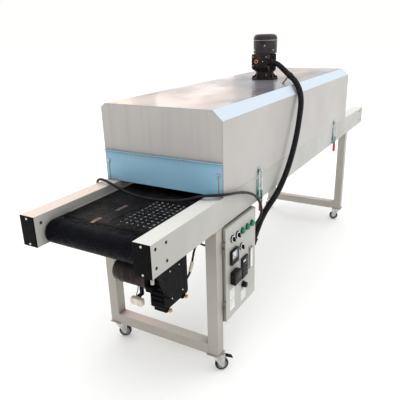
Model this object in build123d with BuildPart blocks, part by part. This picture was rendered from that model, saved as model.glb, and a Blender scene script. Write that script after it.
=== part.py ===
from build123d import *
import os
from math import cos, pi, radians, sin, sqrt, tan

# Conveyor reflow oven, in millimetres.
# X runs along the conveyor (the loading end is -X), -Y is the operator's side, Z is up.
# The origin is on the floor, under the middle of the conveyor.

os.makedirs("parts", exist_ok=True)

# ---------------------------------------------------------------- driving dimensions

RAIL_LENGTH = 2920
RAIL_TOP = 815
RAIL_HEIGHT = 122
RAIL_WIDTH = 72
RAIL_WALL = 2
HALF_WIDTH = 300            # outer face of each side rail
CAP_THICK = 3

ROLLER_AXIS_Z = 732
ROLLER_INSET = 85           # roller axis from the end of the rails
ROLLER_RADIUS = 46
BELT_GAP = 0.4
BELT_THICK = 1.2
BELT_HALF_WIDTH = 222
SHAFT_RADIUS = 10

LEG_SIZE = 50
LEG_WALL = 3
LEG_BOTTOM = 95
LEG_X = (-1009, 992)        # front and rear leg frames
LEG_Y = 275                 # each post and caster, from the middle

WHEEL_RADIUS = 31
CASTER_TRAIL = 26

HOOD_X = (-964, 920)
HOOD_TOP = 1160
HOOD_BOTTOM = RAIL_TOP + 0.5
HOOD_Y = (-300, 298)
NEAR_CHAMFER = (43, 40)     # run across, drop
FAR_CHAMFER = (23, 17)
SHEET = 2
HINGE_Y = 306
HINGE_Z = RAIL_TOP + 0.25
HINGE_X = (-700, 0, 650)

GATE_THICK = 1.5
GATE_HEIGHT = 137
GATE_TRAVEL = 80
STUD_Y = 279
STUD_Z = 905

LATCH_X = (-620, 620)
LATCH_PIVOT = (-311, 735)   # Y, Z of the handle's pivot
HOOK_PIVOT_DROP = 18

BLOWER_X = 140
BLOWER_TOP = 1410

CABINET_X = (-980, -680)
CABINET_Y = (-300, -220)
CABINET_Z = (244, 683)
DOOR_FACE = -314
DOOR_AXIS = (-982, -315)

rail_bottom = RAIL_TOP - RAIL_HEIGHT
rail_end = RAIL_LENGTH / 2
roller_x = rail_end - ROLLER_INSET
rail_mid = HALF_WIDTH - RAIL_WIDTH / 2
rail_inner = HALF_WIDTH - RAIL_WIDTH


# ---------------------------------------------------------------- helpers

def around(middle, half):
    """The two limits of a span given by its middle."""
    return (middle - half, middle + half)


def block(x, y, z, mode=Mode.ADD):
    """A box between two limits on each axis."""
    middle = ((x[0] + x[1]) / 2, (y[0] + y[1]) / 2, (z[0] + z[1]) / 2)
    with Locations(middle):
        Box(x[1] - x[0], y[1] - y[0], z[1] - z[0], mode=mode)


def rod(start, direction, radius, length, mode=Mode.ADD):
    """A cylinder that starts at a point and runs along a direction."""
    with Locations(Plane(origin=start, z_dir=direction)):
        Cylinder(radius, length, align=(Align.CENTER, Align.CENTER, Align.MIN), mode=mode)


def save(piece, name):
    """Label a finished sub-part and write its STEP file."""
    piece.part.label = name
    export_step(piece.part, f"parts/{name}.step")


def corner_radii(points):
    """The largest tangent arc that each inner corner of a cord's route allows."""
    corners = [Vector(*point) for point in points]
    radii = []
    for before, here, after in zip(corners, corners[1:], corners[2:]):
        turn = (here - before).get_angle(after - here)
        shorter = min((here - before).length, (after - here).length)
        radii.append(0.45 * shorter / tan(radians(turn) / 2))
    return radii


def cord(name, points, diameter):
    """A cord's tube: straight runs joined by tangent arcs."""
    radii = corner_radii(points)
    with BuildPart() as tube:
        with BuildLine() as route:
            FilletPolyline(*points, radius=radii)
        path = route.wires()[0]
        with BuildSketch(Plane(origin=path @ 0, z_dir=path % 0)):
            Circle(diameter / 2)
        sweep(path=path)
    save(tube, name)
    share = tube.part.volume / (pi * (diameter / 2) ** 2 * path.length)
    print(name, "length", round(path.length), "volume share", round(share, 3))
    print("   radii", [round(radius) for radius in radii])


# ---------------------------------------------------------------- side rails

BEARING_X = (-35, 35)       # bearing block about the roller's axis
BEARING_Z = (704, 760)
CHAIN_Y = (-279, -271)
GEARBOX_AXIS = (-1310, 580)  # X, Z of the reducer's output shaft
BOLT_HOLE_RADIUS = 3.5
BOLT_HOLE_X = (25, 86)      # from the end of the rail
BOLT_HOLE_Z = (724, 792)


def rail(side):
    """A rectangular sheet-steel side beam; side is -1 for the operator's side."""
    middle = side * rail_mid
    half = RAIL_WIDTH / 2
    inside = half - RAIL_WALL
    z_range = (rail_bottom, RAIL_TOP)
    with BuildPart() as beam:
        block((-rail_end, rail_end), (middle - half, middle + half), z_range)
        block(
            (-rail_end, rail_end),
            (middle - inside, middle + inside),
            (rail_bottom + RAIL_WALL, RAIL_TOP - RAIL_WALL),
            mode=Mode.SUBTRACT,
        )
        wall = sorted((side * (rail_inner - 1), side * (rail_inner + RAIL_WALL + 1)))
        for end in (-1, 1):
            centre = end * roller_x
            block((centre + BEARING_X[0], centre + BEARING_X[1]), wall, BEARING_Z, Mode.SUBTRACT)
            for x in BOLT_HOLE_X:
                for z in BOLT_HOLE_Z:
                    start = (end * (rail_end - x), side * (HALF_WIDTH - RAIL_WALL - 1), z)
                    rod(start, (0, side, 0), BOLT_HOLE_RADIUS, RAIL_WALL + 2, Mode.SUBTRACT)
            peep = (end * (rail_end - 30), side * (rail_inner - 1), 784)
            rod(peep, (0, side, 0), 3, RAIL_WALL + 2, Mode.SUBTRACT)
        if side < 0:
            block((-1402, -1316), (CHAIN_Y[0] - 2, CHAIN_Y[1] + 2),
                  (rail_bottom - 1, rail_bottom + RAIL_WALL + 1), Mode.SUBTRACT)
    return beam


save(rail(-1), "rail_near")
save(rail(1), "rail_far")

SCREW_Z = (703, 805)
SCREW_RADIUS = 2.5
with BuildPart() as rail_end_caps:
    for end in (-1, 1):
        plate = sorted((end * rail_end, end * (rail_end + CAP_THICK)))
        for side in (-1, 1):
            y = (side * rail_mid - RAIL_WIDTH / 2, side * rail_mid + RAIL_WIDTH / 2)
            block(plate, y, (rail_bottom, RAIL_TOP))
            for z in SCREW_Z:
                rod((end * (rail_end - 8), side * rail_mid, z), (end, 0, 0), SCREW_RADIUS, 11)
                rod((end * (rail_end + CAP_THICK), side * rail_mid, z), (end, 0, 0), 4.5, 2.5)
save(rail_end_caps, "rail_end_caps")


# ---------------------------------------------------------------- leg frames and casters

PAD_THICK = 4
PAD_HALF = 45
PLATE_HALF = 31
PLATE_THICK = 3
RACE_RADIUS = 20
KINGPIN_RADIUS = 5
FORK_TOP = 88
# X, Y and the angle that the trail points along
caster_spots = {
    "front_near": (LEG_X[0], -LEG_Y, -45),
    "front_far": (LEG_X[0], LEG_Y, -60),
    "rear_near": (LEG_X[1], -LEG_Y, 100),
    "rear_far": (LEG_X[1], LEG_Y, 80),
}


def leg_frame(x):
    """A welded U frame of square tube, with its rail pads and caster top plates."""
    half = LEG_SIZE / 2
    inside = half - LEG_WALL
    top = rail_bottom - PAD_THICK
    cross_end = LEG_Y - half
    with BuildPart() as frame:
        for y in (-LEG_Y, LEG_Y):
            block((x - half, x + half), (y - half, y + half), (LEG_BOTTOM, top))
        block((x - half, x + half), (-cross_end, cross_end), (LEG_BOTTOM, LEG_BOTTOM + LEG_SIZE))
        for side in (-1, 1):
            pad = sorted((side * (rail_inner + 2), side * HALF_WIDTH))
            block((x - PAD_HALF, x + PAD_HALF), pad, (top, rail_bottom))
        for y in (-LEG_Y, LEG_Y):
            block((x - inside, x + inside), (y - inside, y + inside),
                  (LEG_BOTTOM - 1, top), Mode.SUBTRACT)
        block((x - inside, x + inside), (-cross_end - LEG_WALL - 1, cross_end + LEG_WALL + 1),
              (LEG_BOTTOM + LEG_WALL, LEG_BOTTOM + LEG_SIZE - LEG_WALL), Mode.SUBTRACT)
        for y in (-LEG_Y, LEG_Y):
            block((x - PLATE_HALF, x + PLATE_HALF), (y - PLATE_HALF, y + PLATE_HALF),
                  (LEG_BOTTOM - PLATE_THICK, LEG_BOTTOM))
            race_from = FORK_TOP + 0.4
            rod((x, y, race_from), (0, 0, 1), RACE_RADIUS, LEG_BOTTOM - PLATE_THICK - race_from)
            rod((x, y, FORK_TOP), (0, 0, 1), KINGPIN_RADIUS + 0.05, 8, Mode.SUBTRACT)
    return frame


save(leg_frame(LEG_X[0]), "leg_frame_front")
save(leg_frame(LEG_X[1]), "leg_frame_rear")

FORK_INSIDE = 13            # half the space between the fork's cheeks
CHEEK = 2.5
WHEEL_HALF = 11
AXLE_RADIUS = 4
PEDAL_PIVOT = (24, 71)      # trail distance, height


def caster_plane(spot):
    """The caster's own frame: X along the trail, Y along the axle."""
    x, y, angle = spot
    trail = (cos(radians(angle)), sin(radians(angle)), 0)
    return Plane(origin=(x, y, 0), x_dir=trail, z_dir=(0, 0, 1))


def placed(piece, plane, name):
    """Move a sub-part made at the origin to its own frame, then save it."""
    piece.part = plane.location * piece.part
    save(piece, name)


def caster_fork(braked):
    with BuildPart() as fork:
        rod((0, 0, FORK_TOP - 3), (0, 0, 1), 22, 3)
        rod((0, 0, FORK_TOP), (0, 0, 1), KINGPIN_RADIUS, 6.5)
        block((-16, 40), (-FORK_INSIDE - CHEEK, FORK_INSIDE + CHEEK), (FORK_TOP - 6, FORK_TOP - 3))
        for cheek_face in (FORK_INSIDE, -FORK_INSIDE - CHEEK):
            with BuildSketch(Plane.XZ.offset(cheek_face)):
                with BuildLine():
                    Polyline(
                        (-16, FORK_TOP - 6),
                        (40, FORK_TOP - 6),
                        (CASTER_TRAIL + 9, WHEEL_RADIUS - 6),
                        (CASTER_TRAIL - 9, WHEEL_RADIUS - 6),
                        (-16, FORK_TOP - 6),
                    )
                make_face()
            extrude(amount=CHEEK)
        rod((CASTER_TRAIL, -FORK_INSIDE - CHEEK - 3, WHEEL_RADIUS), (0, 1, 0),
            AXLE_RADIUS, 2 * (FORK_INSIDE + CHEEK + 3))
        if braked:
            rod((PEDAL_PIVOT[0], -FORK_INSIDE, PEDAL_PIVOT[1]), (0, 1, 0), 2.5, 2 * FORK_INSIDE)
    return fork


def caster_wheel():
    with BuildPart() as wheel:
        with BuildSketch(Plane.XZ.offset(-WHEEL_HALF)):
            with Locations((CASTER_TRAIL, WHEEL_RADIUS)):
                Circle(WHEEL_RADIUS)
        extrude(amount=2 * WHEEL_HALF)
        fillet(wheel.edges().filter_by(GeomType.CIRCLE), 3)
        rod((CASTER_TRAIL, -FORK_INSIDE + 0.4, WHEEL_RADIUS), (0, 1, 0), 9, 2 * FORK_INSIDE - 0.8)
        rod((CASTER_TRAIL, -FORK_INSIDE, WHEEL_RADIUS), (0, 1, 0),
            AXLE_RADIUS + 0.05, 2 * FORK_INSIDE, Mode.SUBTRACT)
    return wheel


def caster_brake():
    """A tread pedal over the wheel, on a cross pin in the fork."""
    with BuildPart() as pedal:
        rod((PEDAL_PIVOT[0], -9, PEDAL_PIVOT[1]), (0, 1, 0), 5, 18)
        with BuildSketch(Plane.XZ.offset(-10)):
            with BuildLine():
                Polyline(
                    (PEDAL_PIVOT[0], PEDAL_PIVOT[1] - 2),
                    (PEDAL_PIVOT[0], PEDAL_PIVOT[1] + 4),
                    (50, 71),
                    (76, 58),
                    (75, 54),
                    (48, 66.5),
                    (PEDAL_PIVOT[0], PEDAL_PIVOT[1] - 2),
                )
            make_face()
        extrude(amount=20)
        rod((PEDAL_PIVOT[0], -12, PEDAL_PIVOT[1]), (0, 1, 0), 2.55, 24, Mode.SUBTRACT)
    return pedal


for spot_name, spot in caster_spots.items():
    braked = spot_name.startswith("front")
    plane = caster_plane(spot)
    placed(caster_fork(braked), plane, f"caster_fork_{spot_name}")
    placed(caster_wheel(), plane, f"caster_wheel_{spot_name}")
    if braked:
        placed(caster_brake(), plane, f"caster_brake_{spot_name}")


# ---------------------------------------------------------------- conveyor

SPROCKET_RADIUS = 29.5
CHAIN_RADIUS = 30
CHAIN_DEPTH = 6
belt_inner = ROLLER_RADIUS + BELT_GAP
belt_outer = belt_inner + BELT_THICK


def sprocket(x, z):
    """A sixteen-tooth sprocket on a shaft that runs along Y."""
    y_mid = sum(CHAIN_Y) / 2
    rod((x, y_mid - 3, z), (0, 1, 0), SPROCKET_RADIUS - 4, 6)
    with Locations(Plane(origin=(x, y_mid, z), z_dir=(0, 1, 0))):
        with PolarLocations(SPROCKET_RADIUS - 3.5, 16):
            Box(7, 5, 4)


def roller(x, shaft_from, with_sprocket, name):
    with BuildPart() as drum:
        rod((x, -BELT_HALF_WIDTH, ROLLER_AXIS_Z), (0, 1, 0), ROLLER_RADIUS, 2 * BELT_HALF_WIDTH)
        rod((x, -BELT_HALF_WIDTH + 6, ROLLER_AXIS_Z), (0, 1, 0),
            ROLLER_RADIUS - 4, 2 * BELT_HALF_WIDTH - 12, Mode.SUBTRACT)
        rod((x, shaft_from, ROLLER_AXIS_Z), (0, 1, 0), SHAFT_RADIUS, 249 - shaft_from)
        if with_sprocket:
            sprocket(x, ROLLER_AXIS_Z)
    save(drum, name)


roller(-roller_x, -284, True, "drive_roller")
roller(roller_x, -249, False, "idler_roller")

with BuildPart() as conveyor_belt:
    with BuildSketch(Plane.XZ.offset(-BELT_HALF_WIDTH)):
        with Locations((0, ROLLER_AXIS_Z)):
            SlotCenterToCenter(2 * roller_x, 2 * belt_outer)
            SlotCenterToCenter(2 * roller_x, 2 * belt_inner, mode=Mode.SUBTRACT)
    extrude(amount=2 * BELT_HALF_WIDTH)
save(conveyor_belt, "conveyor_belt")

BED_TOP = 778
BED_THICK = 2.5
BED_END = 1318
BED_BEAMS = (-1300, -960, -520, -80, 360, 800, 1300)
with BuildPart() as slider_bed:
    bed_z = (BED_TOP - BED_THICK, BED_TOP)
    block((-BED_END, BED_END), (-216, 216), bed_z)
    with Locations((-1140, -105, BED_TOP - BED_THICK / 2)):
        with GridLocations(26, 26, 11, 7):
            Cylinder(7, 2 * BED_THICK, mode=Mode.SUBTRACT)
    for x in BED_BEAMS:
        block((x - 15, x + 15), (-rail_inner, rail_inner), (BED_TOP - 27.5, BED_TOP - BED_THICK))
save(slider_bed, "slider_bed")

with BuildPart() as bearing_blocks:
    for end in (-1, 1):
        x = end * roller_x
        for side in (-1, 1):
            y = sorted((side * (rail_inner - 3), side * (rail_inner + 18)))
            block((x + BEARING_X[0], x + BEARING_X[1]), y, BEARING_Z)
            rod((x, side * (rail_inner - 6), ROLLER_AXIS_Z), (0, side, 0),
                SHAFT_RADIUS + 0.05, 30, Mode.SUBTRACT)
save(bearing_blocks, "bearing_blocks")


# ---------------------------------------------------------------- gearmotor and chain drive

GEARBOX_X = (-1350, -1195)
GEARBOX_Y = (-262, -200)
GEARBOX_Z = (500, 678)
LUG_X = (-1327, -1218)
LUG_Z = 493
MOTOR_AXIS = (-1330, 615)
MOTOR_RADIUS = 45
OUTPUT_RADIUS = 8

with BuildPart() as gearmotor_sprocket:
    rod((GEARBOX_AXIS[0], -284, GEARBOX_AXIS[1]), (0, 1, 0), OUTPUT_RADIUS, 60)
    sprocket(*GEARBOX_AXIS)
save(gearmotor_sprocket, "gearmotor_sprocket")

chain_run = Vector(GEARBOX_AXIS[0] + roller_x, GEARBOX_AXIS[1] - ROLLER_AXIS_Z, 0)
chain_middle = ((GEARBOX_AXIS[0] - roller_x) / 2, (GEARBOX_AXIS[1] + ROLLER_AXIS_Z) / 2)
chain_tilt = Vector(1, 0, 0).get_signed_angle(chain_run, Vector(0, 0, 1))
with BuildPart() as drive_chain:
    with BuildSketch(Plane.XZ.offset(-CHAIN_Y[1])):
        with Locations(chain_middle):
            outer_radius = CHAIN_RADIUS + CHAIN_DEPTH
            SlotCenterToCenter(chain_run.length, 2 * outer_radius, rotation=chain_tilt)
            SlotCenterToCenter(
                chain_run.length, 2 * CHAIN_RADIUS, rotation=chain_tilt, mode=Mode.SUBTRACT
            )
    extrude(amount=CHAIN_Y[1] - CHAIN_Y[0])
save(drive_chain, "drive_chain")

with BuildPart() as gearbox_housing:
    block(GEARBOX_X, GEARBOX_Y, GEARBOX_Z)
    fillet(gearbox_housing.edges().filter_by(Axis.Y), 12)
    for z in range(530, 660, 20):
        block((GEARBOX_X[0] - 5, GEARBOX_X[0] + 4), (-255, -207), (z - 4, z + 4))
        block((GEARBOX_X[1] - 4, GEARBOX_X[1] + 5), (-255, -207), (z - 4, z + 4))
    block((GEARBOX_X[0] - 30, GEARBOX_X[0] + 10), (-232, -204), (582, 602))
    block((-1336, -1209), (-260, -rail_inner), (GEARBOX_Z[1] - 8, rail_bottom))
    for x in LUG_X:
        block((x - 10, x + 10), (-258, -204), (LUG_Z - 9, GEARBOX_Z[0] + 6))
        rod((x, -266, LUG_Z), (0, 1, 0), 6, 10)
    rod((GEARBOX_AXIS[0], -268, GEARBOX_AXIS[1]), (0, 1, 0), 24, 16)
    rod((GEARBOX_AXIS[0], -270, GEARBOX_AXIS[1]), (0, 1, 0), OUTPUT_RADIUS + 0.05, 48, Mode.SUBTRACT)
save(gearbox_housing, "gearbox_housing")

with BuildPart() as gearmotor_motor:
    rod((MOTOR_AXIS[0], GEARBOX_Y[1], MOTOR_AXIS[1]), (0, 1, 0), MOTOR_RADIUS + 5, 10)
    rod((MOTOR_AXIS[0], GEARBOX_Y[1] + 10, MOTOR_AXIS[1]), (0, 1, 0), MOTOR_RADIUS, 110)
    rod((MOTOR_AXIS[0], GEARBOX_Y[1] + 120, MOTOR_AXIS[1]), (0, 1, 0), MOTOR_RADIUS + 2, 6)
    rod((MOTOR_AXIS[0], GEARBOX_Y[1] + 126, MOTOR_AXIS[1]), (0, 1, 0), MOTOR_RADIUS - 1, 28)
    fillet(gearmotor_motor.faces().sort_by(Axis.Y)[-1].edges(), 6)
save(gearmotor_motor, "gearmotor_motor")

GUARD_Y = (-292, GEARBOX_Y[0])
GUARD_WALL = 1.5
guard_radius = CHAIN_RADIUS + CHAIN_DEPTH + 5
with BuildPart() as chain_guard:
    with BuildSketch(Plane.XZ.offset(-GUARD_Y[1])):
        with Locations(chain_middle):
            SlotCenterToCenter(chain_run.length, 2 * (guard_radius + GUARD_WALL), rotation=chain_tilt)
    extrude(amount=GUARD_Y[1] - GUARD_Y[0])
    with BuildSketch(Plane.XZ.offset(-GUARD_Y[1])):
        with Locations(chain_middle):
            SlotCenterToCenter(chain_run.length, 2 * guard_radius, rotation=chain_tilt)
    extrude(amount=GUARD_Y[1] - GUARD_Y[0] - GUARD_WALL, mode=Mode.SUBTRACT)
    block((-1500, -1200), (GUARD_Y[0] - 1, GUARD_Y[1] + 1), (rail_bottom, 900), Mode.SUBTRACT)
save(chain_guard, "chain_guard")


# ---------------------------------------------------------------- hood

PANEL_OPENING_HALF = 226
PANEL_OPENING_TOP = 905
LINER_HALF = 246
LINER_TOP = 1100
BLOWER_BORE = 16


def hood_outline(inset):
    """The hood's cross-section, its near shoulder larger than the far one."""
    near, far = HOOD_Y[0] + inset, HOOD_Y[1] - inset
    top = HOOD_TOP - inset
    slack = inset * 0.6
    with BuildLine() as outline:
        Polyline(
            (near, HOOD_BOTTOM),
            (near, top - NEAR_CHAMFER[1] + slack),
            (near + NEAR_CHAMFER[0] - slack, top),
            (far - FAR_CHAMFER[0] + slack, top),
            (far, top - FAR_CHAMFER[1] + slack),
            (far, HOOD_BOTTOM),
            (near, HOOD_BOTTOM),
        )
    return outline.edges()


with BuildPart() as hood_shell:
    with BuildSketch(Plane.YZ.offset(HOOD_X[0])):
        make_face(hood_outline(0))
    extrude(amount=HOOD_X[1] - HOOD_X[0])
    with BuildSketch(Plane.YZ.offset(HOOD_X[0])):
        make_face(hood_outline(SHEET))
    extrude(amount=HOOD_X[1] - HOOD_X[0], mode=Mode.SUBTRACT)
    block((HOOD_X[0], HOOD_X[1]), (HOOD_Y[0] + SHEET, HOOD_Y[1] - SHEET),
          (HOOD_BOTTOM - 1, HOOD_BOTTOM + 1), Mode.SUBTRACT)
    rod((BLOWER_X, 0, HOOD_TOP - 10), (0, 0, 1), BLOWER_BORE, 12, Mode.SUBTRACT)
save(hood_shell, "hood_shell")

with BuildPart() as hood_end_panels:
    for x, outward in ((HOOD_X[0], -1), (HOOD_X[1] - SHEET, 1)):
        with BuildSketch(Plane.YZ.offset(x)):
            make_face(hood_outline(SHEET))
        extrude(amount=SHEET)
        block((x - 1, x + SHEET + 1), (-PANEL_OPENING_HALF, PANEL_OPENING_HALF),
              (HOOD_BOTTOM - 1, PANEL_OPENING_TOP), Mode.SUBTRACT)
        face = HOOD_X[0] if outward < 0 else HOOD_X[1]
        for y in (-STUD_Y, STUD_Y):
            rod((face, y, STUD_Z), (outward, 0, 0), 3, 9)
            rod((face + outward * 2.4, y, STUD_Z), (outward, 0, 0), 7, 1.6)
            rod((face + outward * 4, y, STUD_Z), (outward, 0, 0), 5, 4)
save(hood_end_panels, "hood_end_panels")

with BuildPart() as hood_liner:
    liner_x = (HOOD_X[0] + SHEET, HOOD_X[1] - SHEET)
    block(liner_x, (-LINER_HALF, LINER_HALF), (HOOD_BOTTOM, LINER_TOP))
    block((liner_x[0] - 1, liner_x[1] + 1), (-LINER_HALF + 1.5, LINER_HALF - 1.5),
          (HOOD_BOTTOM - 1, LINER_TOP - 1.5), Mode.SUBTRACT)
    rod((BLOWER_X, 0, LINER_TOP - 5), (0, 0, 1), BLOWER_BORE, 10, Mode.SUBTRACT)
    # mineral-wool blanket between the liner and the shell
    with BuildSketch(Plane.YZ.offset(liner_x[0] + 1)):
        make_face(hood_outline(SHEET + 0.5))
        with Locations((0, (HOOD_BOTTOM + LINER_TOP) / 2)):
            Rectangle(2 * LINER_HALF + 1, LINER_TOP - HOOD_BOTTOM + 1, mode=Mode.SUBTRACT)
    extrude(amount=liner_x[1] - liner_x[0] - 2)
    rod((BLOWER_X, 0, LINER_TOP), (0, 0, 1), BLOWER_BORE, 60, Mode.SUBTRACT)
save(hood_liner, "hood_liner")

HEATER_Z = 990
with BuildPart() as heater_tubes:
    for x in range(-820, 821, 164):
        rod((x, -LINER_HALF + 1.5, HEATER_Z), (0, 1, 0), 8, 2 * LINER_HALF - 3)
save(heater_tubes, "heater_tubes")

KNUCKLE = 5.5
HINGE_PIN = 2.5
LEAF_HALF = 40
with BuildPart() as hood_hinge_lower:
    for x in HINGE_X:
        block((x - LEAF_HALF, x + LEAF_HALF), (HALF_WIDTH, HALF_WIDTH + 2), (772, 807))
        for start in (x - LEAF_HALF, x + 13.5):
            rod((start, HINGE_Y, HINGE_Z), (1, 0, 0), KNUCKLE, LEAF_HALF - 13.5)
            block((start, start + LEAF_HALF - 13.5), (HALF_WIDTH, HINGE_Y - 2), (805, HINGE_Z - 0.5))
        rod((x - LEAF_HALF, HINGE_Y, HINGE_Z), (1, 0, 0), HINGE_PIN, 2 * LEAF_HALF)
save(hood_hinge_lower, "hood_hinge_lower")

with BuildPart() as hood_hinge_upper:
    for x in HINGE_X:
        block((x - LEAF_HALF, x + LEAF_HALF), (HOOD_Y[1], HOOD_Y[1] + 2), (824, 862))
        rod((x - 13, HINGE_Y, HINGE_Z), (1, 0, 0), KNUCKLE, 26)
        block((x - 13, x + 13), (HOOD_Y[1], HINGE_Y - 2), (HINGE_Z + 1, 826))
        rod((x - 14, HINGE_Y, HINGE_Z), (1, 0, 0), HINGE_PIN + 0.05, 28, Mode.SUBTRACT)
save(hood_hinge_upper, "hood_hinge_upper")


def gate(face, outward, name):
    """A sliding shutter with two long slots and a folded top lip."""
    inner = face + outward * 0.4
    outer = inner + outward * GATE_THICK
    x = sorted((inner, outer))
    bottom = HOOD_BOTTOM + 0.5
    with BuildPart() as shutter:
        block(x, (-297, 297), (bottom, bottom + GATE_HEIGHT))
        lip = sorted((inner, outer + outward * 11))
        block(lip, (-297, 297), (bottom + GATE_HEIGHT, bottom + GATE_HEIGHT + GATE_THICK))
        for y in (-STUD_Y, STUD_Y):
            slot = (STUD_Z - GATE_TRAVEL - 0.5, STUD_Z + 0.5)
            block((x[0] - 1, x[1] + 1), (y - 3.4, y + 3.4), slot, Mode.SUBTRACT)
            for z in slot:
                rod((x[0] - 1, y, z), (1, 0, 0), 3.4, GATE_THICK + 2, Mode.SUBTRACT)
    save(shutter, name)


gate(HOOD_X[0], -1, "gate_front")
gate(HOOD_X[1], 1, "gate_rear")


# ---------------------------------------------------------------- toggle latches

ROD_X = 16
ROD_RADIUS = 2
BAR_Z = 838
EAR_X = (4, 8)
ARM_X = (9, 12)
pivot_y, pivot_z = LATCH_PIVOT
hook_z = pivot_z - HOOK_PIVOT_DROP

with BuildPart() as latch_bases:
    for x in LATCH_X:
        block((x - 22, x + 22), (-HALF_WIDTH - 2, -HALF_WIDTH), (703, 795))
        for side in (-1, 1):
            ear = sorted((x + side * EAR_X[0], x + side * EAR_X[1]))
            block(ear, (pivot_y, -HALF_WIDTH - 1), (pivot_z - 6, pivot_z + 6))
            rod((ear[0], pivot_y, pivot_z), (1, 0, 0), 6, EAR_X[1] - EAR_X[0])
        rod((x - EAR_X[1], pivot_y, pivot_z), (1, 0, 0), 3.05, 2 * EAR_X[1], Mode.SUBTRACT)
save(latch_bases, "latch_bases")

with BuildPart() as latch_catches:
    for x in LATCH_X:
        block((x - 11, x + 11), (HOOD_Y[0] - 2, HOOD_Y[0]), (818, 852))
        block((x - 11, x + 11), (HOOD_Y[0] - 8, HOOD_Y[0] - 1), (828, 830))
        block((x - 11, x + 11), (HOOD_Y[0] - 8, HOOD_Y[0] - 6), (828, 840))
save(latch_catches, "latch_catches")


def latch_handle(x):
    with BuildPart() as handle:
        for side in (-1, 1):
            arm = sorted((x + side * ARM_X[0], x + side * ARM_X[1]))
            block(arm, (pivot_y - 5, pivot_y + 5), (692, pivot_z))
            rod((arm[0], pivot_y, pivot_z), (1, 0, 0), 5, 3)
        rod((x - ARM_X[1], pivot_y, pivot_z), (1, 0, 0), 3, 2 * ARM_X[1])
        block((x - ARM_X[1], x + ARM_X[1]), (pivot_y - 5, pivot_y + 5), (692, 700))
        rod((x - ROD_X - 3, pivot_y, hook_z), (1, 0, 0), 2.5, 2 * ROD_X + 6)
        rod((x, pivot_y, 644), (0, 0, 1), 7, 50)
    return handle


def latch_hook(x):
    """Two rods on the handle's cross pin, joined by a bar at the top."""
    with BuildPart() as hook:
        for side in (-1, 1):
            rod_x = x + side * ROD_X
            rod((rod_x, pivot_y, hook_z + 2), (0, 0, 1), ROD_RADIUS, BAR_Z - hook_z - 2)
            rod((rod_x - 2, pivot_y, hook_z), (1, 0, 0), 4.5, 4)
            rod((rod_x - 3, pivot_y, hook_z), (1, 0, 0), 2.55, 6, Mode.SUBTRACT)
        rod((x - ROD_X - ROD_RADIUS, pivot_y, BAR_Z), (1, 0, 0), ROD_RADIUS, 2 * (ROD_X + ROD_RADIUS))
    return hook


for place, x in zip(("front", "rear"), LATCH_X):
    save(latch_handle(x), f"latch_handle_{place}")
    save(latch_hook(x), f"latch_hook_{place}")


# ---------------------------------------------------------------- blower

FLANGE_RADIUS = 77
NECK_RADIUS = 52
BODY_RADIUS = 64
COWL_RADIUS = 68.5
NECK_Z = (1160, 1206)
BODY_Z = (1206, 1314)
SHAFT = 7
with BuildPart() as blower_mount:
    rod((BLOWER_X, 0, NECK_Z[0]), (0, 0, 1), FLANGE_RADIUS, 9)
    rod((BLOWER_X, 0, NECK_Z[0] + 9), (0, 0, 1), NECK_RADIUS, NECK_Z[1] - NECK_Z[0] - 9)
    rod((BLOWER_X, 0, NECK_Z[0] - 1), (0, 0, 1), NECK_RADIUS - 6, 60, Mode.SUBTRACT)
    with Locations((BLOWER_X, 0, NECK_Z[0] + 12)):
        with PolarLocations(65, 4, start_angle=20):
            Cylinder(6, 6)
save(blower_mount, "blower_mount")

with BuildPart() as blower_motor:
    rod((BLOWER_X, 0, BODY_Z[0]), (0, 0, 1), BODY_RADIUS - 6, BODY_Z[1] - BODY_Z[0])
    with Locations((BLOWER_X, 0, (BODY_Z[0] + BODY_Z[1]) / 2)):
        with PolarLocations(BODY_RADIUS - 6, 36):
            Box(12, 3, BODY_Z[1] - BODY_Z[0] - 16)
    rod((BLOWER_X, 0, BODY_Z[1] - 8), (0, 0, 1), COWL_RADIUS - 2, 8)
    rod((BLOWER_X, 0, BODY_Z[0] + 8), (0, 0, 1), BODY_RADIUS - 14, 92, Mode.SUBTRACT)
    rod((BLOWER_X, 0, BODY_Z[0] - 1), (0, 0, 1), SHAFT + 0.05, 120, Mode.SUBTRACT)
save(blower_motor, "blower_motor")

with BuildPart() as blower_cowl:
    with BuildSketch(Plane.XZ) as cowl_profile:
        with BuildLine():
            Polyline((0, BLOWER_TOP - 2), (0, BLOWER_TOP), (44, BLOWER_TOP))
            TangentArc((44, BLOWER_TOP), (COWL_RADIUS, BLOWER_TOP - 24), tangent=(1, 0))
            Polyline(
                (COWL_RADIUS, BLOWER_TOP - 24),
                (COWL_RADIUS, BODY_Z[1] - 8),
                (COWL_RADIUS - 2, BODY_Z[1] - 8),
                (COWL_RADIUS - 2, BLOWER_TOP - 24),
                (44, BLOWER_TOP - 2),
                (0, BLOWER_TOP - 2),
            )
        make_face()
    revolve(axis=Axis.Z)
blower_cowl.part = Pos(BLOWER_X, 0, 0) * blower_cowl.part
save(blower_cowl, "blower_cowl")

IMPELLER_Z = (1046, 1092)
with BuildPart() as blower_rotor:
    # shaft with the motor's core and the small cooling fan under the cowl
    rod((BLOWER_X, 0, IMPELLER_Z[0]), (0, 0, 1), SHAFT, 1350 - IMPELLER_Z[0])
    rod((BLOWER_X, 0, 1222), (0, 0, 1), 32, 70)
    rod((BLOWER_X, 0, 1330), (0, 0, 1), 16, 14)
    with Locations((BLOWER_X, 0, 1337)):
        with PolarLocations(35, 6):
            Box(42, 2, 14)
    # centrifugal impeller inside the heating chamber
    rod((BLOWER_X, 0, IMPELLER_Z[1] - 3), (0, 0, 1), 105, 3)
    rod((BLOWER_X, 0, IMPELLER_Z[0]), (0, 0, 1), 18, IMPELLER_Z[1] - IMPELLER_Z[0])
    with Locations((BLOWER_X, 0, sum(IMPELLER_Z) / 2)):
        with PolarLocations(82, 12):
            Box(44, 2, IMPELLER_Z[1] - IMPELLER_Z[0])
save(blower_rotor, "blower_rotor")

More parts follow.
